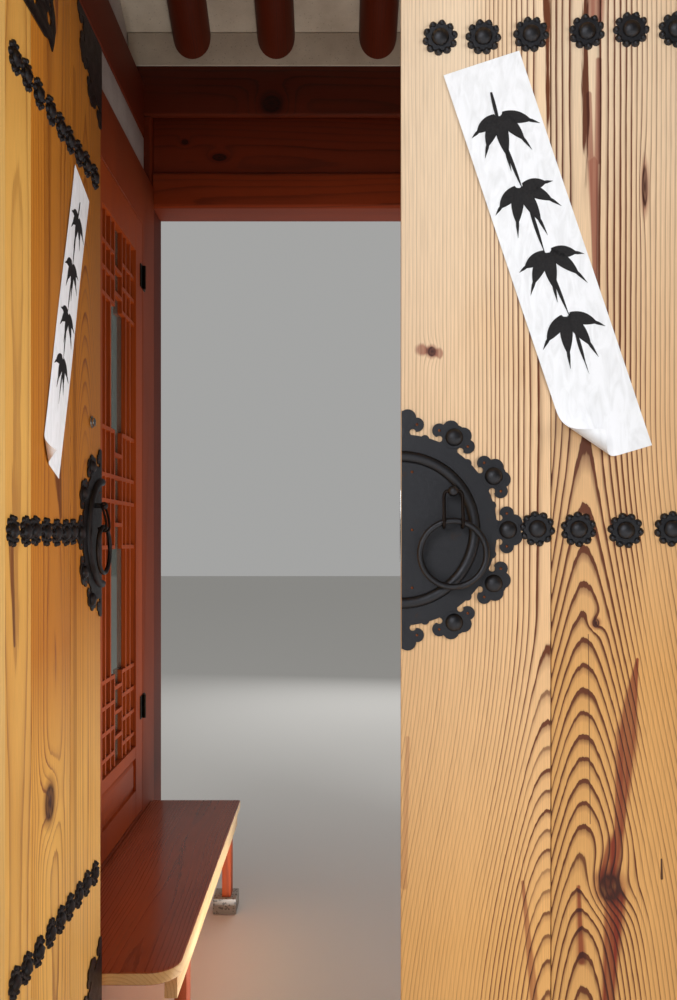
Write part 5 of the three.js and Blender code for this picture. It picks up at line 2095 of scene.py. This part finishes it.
class Slope(Enum):
    """The roof's two slopes, by the way that each runs down from the ridge along Y."""

    FRONT = -1
    REAR = 1

    @property
    def label(self) -> str:
        """The slope as piece names say it."""
        return self.name.lower()

    @property
    def grain(self) -> Grain:
        """The way that its rafters' grain runs."""
        return Grain.DOWN_FRONT if self is Slope.FRONT else Grain.DOWN_REAR


@dataclass
class Roof:
    """Rafters, plaster between them, clay bed, tiles and ridges, from the eaves to the ridge."""

    pitch: float = math.tan(math.radians(26.5))
    rafter: float = 0.07
    rafters: tuple[float, ...] = (-1.0, -0.626, -0.314, 0.063, 0.408, 0.754, 1.1)
    seat_half: float = 0.8655
    rafter_reach: float = 1.70
    soffit_reach: float = 1.72
    tile_reach: float = 1.78
    half_span: float = 1.2
    tile_span: float = 1.27
    purlin_top: float = 3.07
    purlin_inner: float = 1.03
    purlin_depth: float = 0.188
    cover_pitch: float = 0.275
    ridge_half: float = 0.115
    ridge_end: float = 1.19
    flat_tile: Flat = (0.148, 0.016)
    joint: float = 0.0005

    @property
    def rise(self) -> float:
        """A rafter's radius, measured upright."""
        return self.rafter / math.cos(math.atan(self.pitch))

    def rafter_underside(self, away: float) -> float:
        """The height of the rafters' undersides at a distance from the ridge line."""
        return self.purlin_top + SEAT + (self.purlin_inner - away) * self.pitch

    def soffit(self, away: float) -> float:
        """The height of the plaster's underside."""
        return self.rafter_underside(away) + self.rise + 0.01

    def bed(self, away: float) -> float:
        """The height of the boarded deck, where the clay starts."""
        return self.soffit(away) + 0.11

    def tiles(self, away: float) -> float:
        """The height of the cover tiles' backs, sagging between ridge and eaves."""
        left = 1 - away / self.tile_reach
        return self.bed(away) + 0.15 + 0.09 * left * left

    def build(self) -> None:
        """Builds both slopes, the ridges and the gable boards."""
        for slope in Slope:
            self.build_rafters(slope)
            self.build_plaster(slope)
            self.build_bed(slope)
            self.build_tiles(slope)
            self.build_gable_ridges(slope)
        self.build_main_ridge()
        for name in ("left_bargeboard", "right_bargeboard"):
            sawn = Sawn((0.1, 0.2), 0.02, 5.5)
            look = DARK_TIMBER.board(name, sawn, middle_of(name), Grain.INWARD.value)
            fit(eased_node(name, 0.003), look, GATEHOUSE, [name])

    def build_rafters(self, slope: Slope) -> None:
        """Builds one slope's round rafters, with limewashed ends.

        Args:
            slope: The slope.
        """
        sign, label = slope.value, slope.label
        start, end = -0.1, self.rafter_reach + 0.1
        logs = []
        for k, x in enumerate(self.rafters):
            low, high = (
                (x, sign * away, self.rafter_underside(away) + self.rise) for away in (start, end)
            )
            logs.append(cylinder(f"{label}_log_{k}", self.rafter, low, high, 32))
        logs = cut_off(
            joined(f"{label}_rafters", logs),
            ((0, sign * self.joint, 0), (0, -sign, 0)),
            ((0, sign * self.rafter_reach, 0), (0, sign, 0)),
        )
        eased(logs, 0.003, 2, 50)
        sawn = Sawn((0.4, 0.3), 0.03, 1.1, (), (), 0.6)
        # The rafters take the darker copy, with painted shade.
        look = PAINTED_SHADE_TIMBER.board(f"{label}_rafters", sawn, (0, 0, 3.6), slope.grain.value)
        dress(logs, look, LIMEWASH.look())
        for face in logs.data.polygons:
            outer = abs(face.center.y) > self.rafter_reach - 0.02
            face.material_index = int(outer and face.normal.y * sign > 0.95)
        fit(logs, None, GATEHOUSE, [f"{label}_rafters_and_soffit"])

    def build_plaster(self, slope: Slope) -> None:
        """Builds the plaster between the rafters, and its rounded seats on the purlin.

        Args:
            slope: The slope.
        """
        joint, reach = self.joint, self.soffit_reach
        slab = [
            (joint, self.soffit(joint)), (reach, self.soffit(reach)),
            (reach, self.bed(reach)), (joint, self.bed(joint)),
        ]
        inner, outer = self.purlin_inner + 0.012, self.purlin_inner + self.purlin_depth - 0.012
        seat = [
            (inner, self.rafter_underside(inner) - 0.001),
            (inner + 0.004, self.rafter_underside(inner) + 0.045),
            (inner - 0.02, self.soffit(inner - 0.02) + 0.004),
            (outer + 0.02, self.soffit(outer + 0.02) + 0.004),
            (outer - 0.004, self.rafter_underside(outer) + 0.045),
            (outer, self.rafter_underside(outer) - 0.001),
        ]
        # Inside, the plaster is drawn down over the purlin's top edge, and the rafters run into it.
        back, face = self.purlin_inner - self.joint, self.purlin_inner - 0.024
        lip = [
            (back, self.purlin_top - 0.004), (face + 0.003, self.purlin_top - 0.012),
            (face, self.purlin_top + 0.05), (face - 0.012, self.soffit(face) + 0.004),
            (back, self.soffit(back) + 0.004),
        ]
        for name, profile, half, rounding in (
            ("soffit", slab, self.half_span, (0.003, 2)),
            ("purlin", seat, self.half_span - 0.02, (0.012, 3, 20)),
            ("seat", lip, self.seat_half, (0.005, 3, 20)),
        ):
            outline = [(slope.value * away, z) for away, z in profile]
            fill = prism(f"{slope.label}_{name}_plaster", outline, "X", -half, half)
            fit(eased(fill, *rounding), CEILING_PLASTER.look(), GATEHOUSE)

    def build_bed(self, slope: Slope) -> None:
        """Builds the clay bed under the tiles.

        Args:
            slope: The slope.
        """
        edge = self.tile_reach - 0.03
        outline = [(away, self.bed(away) + SEAT) for away in (self.joint, edge)]
        steps = 12
        for i in range(steps + 1):
            away = edge * (1 - i / steps) + self.joint
            outline.append((away, self.tiles(away) - 0.118))
        outline = [(slope.value * away, z) for away, z in outline]
        half = self.tile_span - 0.004
        bed = eased(prism(f"{slope.label}_clay_bed", outline, "X", -half, half), 0.004, 2)
        fit(bed, ROOF_CLAY.look(), GATEHOUSE, [f"{slope.label}_tile_slope"])

    def slope_place(self, slope: Slope, x: float, away: float, under: float) -> Matrix:
        """The place of a tile whose own +Y runs down the slope and whose +Z stands off it.

        Args:
            slope: The slope.
            x: Where it lies along the ridge.
            away: How far it is from the ridge line.
            under: How far it lies under the cover tiles' backs.

        Returns:
            The place.
        """
        fall = (self.tiles(away + 0.01) - self.tiles(away - 0.01)) / 0.02
        down = Vector((0, slope.value, fall)).normalized()
        up = Vector((0, 0, 1)) - down * down.z
        up.normalize()
        turn = Matrix((down.cross(up), down, up)).transposed().to_4x4()
        return Matrix.Translation((x, slope.value * away, self.tiles(away) - under)) @ turn

    def lay(self, name: str, tile: Object, places: Sequence[Matrix]) -> None:
        """Copies a fired tile to each place and fits the copies as one piece.

        Args:
            name: The piece's name.
            tile: The tile.
            places: The places.
        """
        fit(repeated(name, tile, places), TILE.look(), GATEHOUSE)

    def build_tiles(self, slope: Slope) -> None:
        """Builds the pan tiles, the cover tiles over their joints, and the eaves tiles.

        Args:
            slope: The slope.
        """
        pan = arch_tile("pan", 0.15, 0.30, -0.042, 0.016, 0.0)
        cover = arch_tile("cover", 0.071, 0.30, 0.066, 0.016, 0.004)
        columns = [(-4 + i) * self.cover_pitch for i in range(9)]
        between = [x + self.cover_pitch / 2 for x in columns[:-1]]
        rows = 9
        run = self.tile_reach - 0.12
        tilt = Matrix.Rotation(math.radians(-2.2), 4, "X")
        for name, tile, xs, first, last, under in (
            ("pan_tiles", pan, columns, 0.15, run, 0.062),
            ("cover_tiles", cover, between, 0.15, run + 0.02, 0.072),
        ):
            places = []
            for i in range(rows):
                away = first + (last - first) * i / (rows - 1)
                places += [self.slope_place(slope, x, away, under) @ tilt for x in xs]
            self.lay(f"{slope.label}_{name}", tile, places)
        self.build_eaves(slope, columns, between)

    def build_eaves(
        self, slope: Slope, columns: Sequence[float], between: Sequence[float]
    ) -> None:
        """Builds the round end tiles and the curved drip tiles along the eaves.

        Args:
            slope: The slope.
            columns: Where the pan tiles lie along the ridge.
            between: Where the cover tiles lie.
        """
        disc = cylinder("end_disc", 0.072, (0, 0, 0), (0, 0.018, 0), 28)
        with shaping(disc):
            pick(disc, "faces", lambda f: f.normal.y > 0.9)
            bpy.ops.mesh.inset(thickness=0.012, depth=0)
            bpy.ops.mesh.extrude_region_move(TRANSFORM_OT_translate={"value": (0, -0.006, 0)})
        eased(disc, 0.002, 2, 40)
        button = dome("button", 0.02, 0.008, (0, 0, 0), 16)
        outwards = Matrix.Rotation(-math.pi / 2, 4, "X")
        button.data.transform(Matrix.Translation((0, 0.012, 0)) @ outwards)
        disc = smoothed(joined("end_disc", [disc, smoothed(button, 50)]), 40)
        lip = drip_tile("drip", 0.118, 0.042, 0.052, 0.014)
        out = self.tile_reach - 0.024
        height = self.tiles(out) - 0.079
        turn = Matrix.Rotation(0 if slope is Slope.REAR else math.pi, 4, "Z")
        for name, tile, xs, off in (
            ("end_tiles", disc, between, 0.0), ("drip_tiles", lip, columns, 0.004),
        ):
            y = slope.value * (out + off)
            places = [Matrix.Translation((x, y, height)) @ turn for x in xs]
            self.lay(f"{slope.label}_{name}", tile, places)

    def build_gable_ridges(self, slope: Slope) -> None:
        """Builds the low ridges down the gable edges: flat tiles in lime under cover tiles.

        Args:
            slope: The slope.
        """
        layer = eased(cuboid("layer", (-0.085, -0.148, 0.0), (0.085, 0.148, 0.016)), 0.003, 1)
        second = copied(layer, "second", Matrix.Translation((0, 0, 0.034)))
        top = arch_tile("top", 0.066, 0.30, 0.058, 0.016, 0.004)
        top.data.transform(Matrix.Translation((0, 0, 0.056)))
        unit = joined("ridge_unit", [layer, second, top])
        start, end, units = 0.28, self.tile_reach - 0.18, 7
        edge, steps = self.tile_reach - 0.04, 10
        aways = [
            self.ridge_half + 0.01 + (edge - self.ridge_half) * i / steps for i in range(steps + 1)
        ]
        outline = [(slope.value * away, self.tiles(away) - 0.09) for away in aways]
        outline += [(slope.value * away, self.tiles(away) + 0.07) for away in reversed(aways)]
        places, mortar = [], []
        for x in (self.tile_span - 0.085, -self.tile_span + 0.085):
            for i in range(units):
                away = start + (end - start) * i / (units - 1)
                places.append(self.slope_place(slope, x, away, 0.0))
            mortar.append(prism(f"{slope.label}_verge_mortar", outline, "X", x - 0.07, x + 0.07))
        self.lay(f"{slope.label}_gable_ridge_tiles", unit, places)
        verge = joined(f"{slope.label}_gable_ridge_mortar", mortar)
        fit(verge, ROOF_LIME.look(), GATEHOUSE)

    def build_main_ridge(self) -> None:
        """Builds the main ridge: lime mortar, four courses of flat tiles and cover tiles on top."""
        foot = self.tiles(0) + SEAT
        half, end = self.ridge_half - 0.02, self.ridge_end
        core = cuboid("main_ridge_mortar", (-end, -half, foot - 0.06), (end, half, foot + 0.2))
        fit(eased(core, 0.004, 2), ROOF_LIME.look(), GATEHOUSE, ["main_ridge"])
        long, thick = self.flat_tile
        flat = cuboid("flat", (-long, -self.ridge_half, 0), (long, self.ridge_half, thick))
        spots = [-1.05 + 0.3 * i for i in range(8)]
        places = []
        for course in range(4):
            # Each course starts half a tile past the one below it.
            shift = 0.075 if course % 2 else -0.075
            height = foot + 0.022 + 0.044 * course
            places += [Matrix.Translation((x + shift, 0, height)) for x in spots]
        flats = repeated("main_ridge_flat_tiles", eased(flat, 0.003, 1), places)
        past = end + 0.008
        cut_off(flats, ((-past, 0, 0), (-1, 0, 0)), ((past, 0, 0), (1, 0, 0)))
        fit(flats, TILE.look(), GATEHOUSE)
        top = arch_tile("top", 0.078, 0.30, 0.07, 0.018, 0.004)
        turn = Matrix.Rotation(-math.pi / 2, 4, "Z")
        places = [Matrix.Translation((x, 0, foot + 0.178)) @ turn for x in spots]
        self.lay("main_ridge_cover_tiles", top, places)


def arch_tile(
    name: str, half: float, length: float, rise: float, thickness: float, flare: float
) -> Object:
    """Models a curved tile that runs along Y, its edges at Z = 0.

    Args:
        name: The tile's name.
        half: Half its width.
        length: Its length.
        rise: How far its middle stands above its edges, or hangs below them.
        thickness: How thick it is.
        flare: How much wider its lower end is.

    Returns:
        The tile.
    """
    steps = 8
    span = 2 * math.atan(abs(rise) / half) if abs(rise) < half else math.pi / 2
    radius = half / math.sin(span)
    way = 1 if rise > 0 else -1
    outer, inner = [], []
    for i in range(steps + 1):
        turn = -span + 2 * span * i / steps
        for line, size in ((outer, radius), (inner, radius - thickness * way)):
            height = way * (size * math.cos(turn) - radius * math.cos(span))
            line.append((size * math.sin(turn), height))
    tile = prism(name, outer + inner[::-1], "Y", -length / 2, length / 2)
    for vert in tile.data.vertices:
        if vert.co.y < 0:
            vert.co.x *= 1 - flare / half
            vert.co.z *= 1 - flare / half
    return eased(tile, 0.002, 1, 50)


def drip_tile(name: str, half: float, sag: float, drop: float, thickness: float) -> Object:
    """Models the curved lip that hangs under a pan tile at the eaves.

    Args:
        name: The tile's name.
        half: Half its width.
        sag: How far its upper edge sags in the middle.
        drop: How far its lower edge hangs under the upper one.
        thickness: How thick it is.

    Returns:
        The tile.
    """
    steps = 10
    upper, lower = [], []
    for i in range(steps + 1):
        share = -1 + 2 * i / steps
        top = -sag * (1 - share * share)
        upper.append((half * share, top))
        lower.append((half * share * 0.96, top - drop * (1 - 0.75 * share * share)))
    tile = prism(name, upper + lower[::-1], "Y", 0.0, thickness)
    return eased(tile, 0.002, 2, 40)


@dataclass(frozen=True)
class Lamp:
    """A soft square light: its place, what it faces, its side in metres and its power in watts."""

    name: str
    place: Point
    aim: Point
    size: float
    power: float
    mirrored: bool = False

    def hang(self) -> None:
        """Hangs the lamp, out of the camera's sight."""
        data = bpy.data.lights.new(self.name, "AREA")
        data.size = self.size
        data.energy = self.power
        lamp = bpy.data.objects.new(self.name, data)
        run = Vector(self.aim) - Vector(self.place)
        lamp.location = self.place
        lamp.rotation_euler = run.to_track_quat("-Z", "Y").to_euler()
        lamp.visible_camera = False
        lamp.visible_glossy = self.mirrored
        bpy.context.scene.collection.objects.link(lamp)


@dataclass
class Studio:
    """Plain pale floor, soft light and a camera at the photograph's place."""

    eye: Point = (-0.094, -2.336, 1.295)
    lens: float = 32.4
    shift: Flat = (0.003, 0.04)
    sky: str = "#f1f1ef"
    lamps: tuple[Lamp, ...] = (
        Lamp("key", (-2.6, -6.5, 3.6), (0.2, -0.8, 1.3), 3.2, 88, mirrored=True),
        Lamp("street", (-0.25, -5.2, 1.4), (-0.15, 0.0, 1.6), 2.4, 38),
        Lamp("fill", (4.6, -3.8, 2.0), (-0.4, -0.8, 1.3), 2.6, 190),
        Lamp("court", (0.6, 5.5, 2.6), (-0.2, 0.4, 1.4), 2.6, 65),
        Lamp("paving", (0.0, 0.25, 0.03), (0.0, 0.26, 3.0), 1.0, 20),
        Lamp("inner", (0.35, -0.7, 0.8), (0.0, 1.1, 2.8), 0.4, 5),
    )

    def build(self) -> None:
        """Sets up camera, floor and lights."""
        data = bpy.data.cameras.new("camera")
        data.sensor_fit = "VERTICAL"
        data.sensor_height = 36
        data.lens = self.lens
        data.shift_x, data.shift_y = self.shift
        data.clip_start = 0.01
        camera = bpy.data.objects.new("camera", data)
        camera.location = self.eye
        camera.rotation_euler = (math.pi / 2, 0, 0)
        bpy.context.scene.collection.objects.link(camera)
        bpy.context.scene.camera = camera
        bpy.context.scene.view_settings.view_transform = "Standard"
        self.build_floor()
        self.build_sky()
        for lamp in self.lamps:
            lamp.hang()

    def build_floor(self) -> None:
        """Lays the floor."""
        bpy.ops.object.select_all(action="DESELECT")
        bpy.ops.mesh.primitive_plane_add(size=60, location=(0, 0, -0.002))
        floor = fresh("floor")
        material, tree = blank("pale_floor")
        base = add_node(tree, "TexNoise", {"Scale": 2.0, "Detail": 2.0}).outputs[0]
        colour = add_node(
            tree, "Mix", {0: base, 6: linear("#dedcd8"), 7: linear("#d6d4d0")}, data_type="RGBA"
        ).outputs[2]
        close(tree, colour, 0.9, None)
        floor.data.materials.append(material)

    def build_sky(self) -> None:
        """Sets a pale sky, of which varnish and iron mirror less, as under deep eaves."""
        world = bpy.data.worlds.new("pale_sky")
        world.use_nodes = True
        sky = world.node_tree.nodes["Background"]
        sky.inputs["Color"].default_value = linear(self.sky)
        path = add_node(world.node_tree, "LightPath").outputs["Is Glossy Ray"]
        strength = add_node(world.node_tree, "MapRange", {0: path, 3: 0.42, 4: 0.12}).outputs[0]
        world.node_tree.links.new(strength, sky.inputs["Strength"])
        bpy.context.scene.world = world


# The rows of nails: each nail's distance from the leaf's pivot.
LEFT_ROW = (0.522, 0.468, 0.408, 0.344, 0.286, 0.230, 0.170, 0.114, 0.053)
LEFT_MIDDLE_ROW = (0.532, 0.471, 0.425, 0.368, 0.310, 0.254, 0.209)
RIGHT_ROW = (0.0585, 0.122, 0.192, 0.273, 0.337, 0.402, 0.467, 0.531)
RIGHT_MIDDLE_ROW = (0.201, 0.261, 0.329, 0.396, 0.464, 0.531)

LEFT_LEAF = GateLeaf(
    side=Side.LEFT,
    pivot=(-0.62, -1.014),
    open_degrees=90,
    nails={0.746: LEFT_ROW, 0.0: LEFT_MIDDLE_ROW, -0.713: LEFT_ROW},
    planks=(0.175, 0.396),
    sawn=(
        Sawn(
            (0.10, 0.16), 0.014, 11.0, (),
            (Streak((0.080, 1.31), (0.097, 1.13), 0.012, 0.004, 0.9),), bold=1.3,
        ),
        Sawn(
            (0.30, 0.10), 0.018, 14.0, (Knot(0.272, 0.83, 0.026),),
            (
                Streak((0.312, 1.45), (0.335, 1.34), 0.024, 0.006, 0.9),
                Streak((0.27, 2.2), (0.26, 1.5), 0.02, 0.008, 0.35),
            ),
            bold=1.7, darker=(0.8, 1.1),
        ),
        Sawn(
            (0.50, 0.05), 0.006, 19.0, (), (Streak((0.42, 2.2), (0.43, 0.6), 0.010, 0.010, 0.4),),
            arches=(1.2, 2.2, 0.11), bold=1.8, darker=(0.8, 1.2),
        ),
    ),
    pine=ORANGE_PINE,
    paper={
        "start": (0.422, 2.023), "across": (0.94, -0.342), "down": (-0.322, -0.947),
        "size": (0.104, 0.613), "fold": ((0.243, 1.47), (0.30, 1.37)),
    },
)

RIGHT_LEAF = GateLeaf(
    side=Side.RIGHT,
    pivot=(0.62, -1.014),
    open_degrees=3.5,
    nails={0.731: RIGHT_ROW, 0.0: RIGHT_MIDDLE_ROW, -0.731: RIGHT_ROW},
    planks=(0.175, 0.396),
    sawn=(
        Sawn((-0.09, 0.10), 0.020, 23.0, bold=0.8, pitch=0.85, darker=(2.2, 1.0)),
        Sawn(
            (-0.3475, 0.018), 0.006, 27.0,
            (
                Knot(-0.3107, 0.785, 0.017), Knot(-0.331, 1.173, 0.0055),
                Knot(-0.2605, 1.812, 0.0042, 0.13),
            ),
            (
                Streak((-0.2707, 1.12), (-0.2855, 1.01), 0.0025, 0.0135, 0.95),
                Streak((-0.2855, 1.01), (-0.2974, 0.869), 0.0135, 0.0075, 0.95),
                Streak((-0.2974, 0.869), (-0.3150, 0.800), 0.0075, 0.016, 1.0),
                Streak((-0.3010, 0.770), (-0.3151, 0.600), 0.015, 0.010, 1.0),
                Streak((-0.3555, 0.785), (-0.352, 0.675), 0.003, 0.0065, 0.85),
                Streak((-0.3418, 1.156), (-0.339, 0.878), 0.0009, 0.0007, 0.7, True),
                Streak((-0.330, 2.12), (-0.330, 2.04), 0.015, 0.010, 0.85),
                Streak((-0.341, 1.95), (-0.338, 1.85), 0.0035, 0.004, 0.8),
                Streak((-0.326, 2.00), (-0.328, 1.85), 0.004, 0.005, 0.8),
                Streak((-0.334, 1.85), (-0.331, 1.66), 0.009, 0.003, 0.9),
                Streak((-0.2365, 0.828), (-0.236, 0.800), 0.0012, 0.0020, 0.95, True),
            ),
            arches=(0.42, 1.5, 0.136), bold=3.0, pitch=1.55,
            fading=(0.065, 0.10), darker=(2.1, 1.1),
        ),
        Sawn(
            (-0.4, 0.016), 0.008, 31.0, (Knot(-0.571, 1.575, 0.006),),
            (
                Streak((-0.585, 1.578), (-0.560, 1.572), 0.008, 0.006, 0.8),
                Streak((-0.437, 0.79), (-0.419, 0.60), 0.0025, 0.006, 0.7),
                Streak((-0.606, 1.0), (-0.612, 0.78), 0.003, 0.005, 0.35),
            ),
            arches=(0.5, 1.2, 0.09), bold=1.7, pitch=1.35, fading=(0.05, 0.13), darker=(2.0, 0.7),
        ),
    ),
    pine=HONEY_PINE,
    paper={
        "start": (0.5535, 1.984), "across": (-0.959, 0.283), "down": (-0.3135, -0.9496),
        "size": (0.1156, 0.614), "fold": ((0.388, 1.487), (0.289, 1.418)),
    },
)


def main() -> None:
    """Builds the studio and every sub-assembly in order."""
    logging.basicConfig(level=logging.INFO, format="%(name)s %(message)s")
    for assembly in (
        Studio(), Stonework(), TimberFrame(), GateFrame(), SideWalls(), LatticeDoors(), Bench(),
        Roof(), LEFT_LEAF, RIGHT_LEAF,
    ):
        log.info("building %s", type(assembly).__name__)
        assembly.build()


if __name__ == "__main__":
    main()
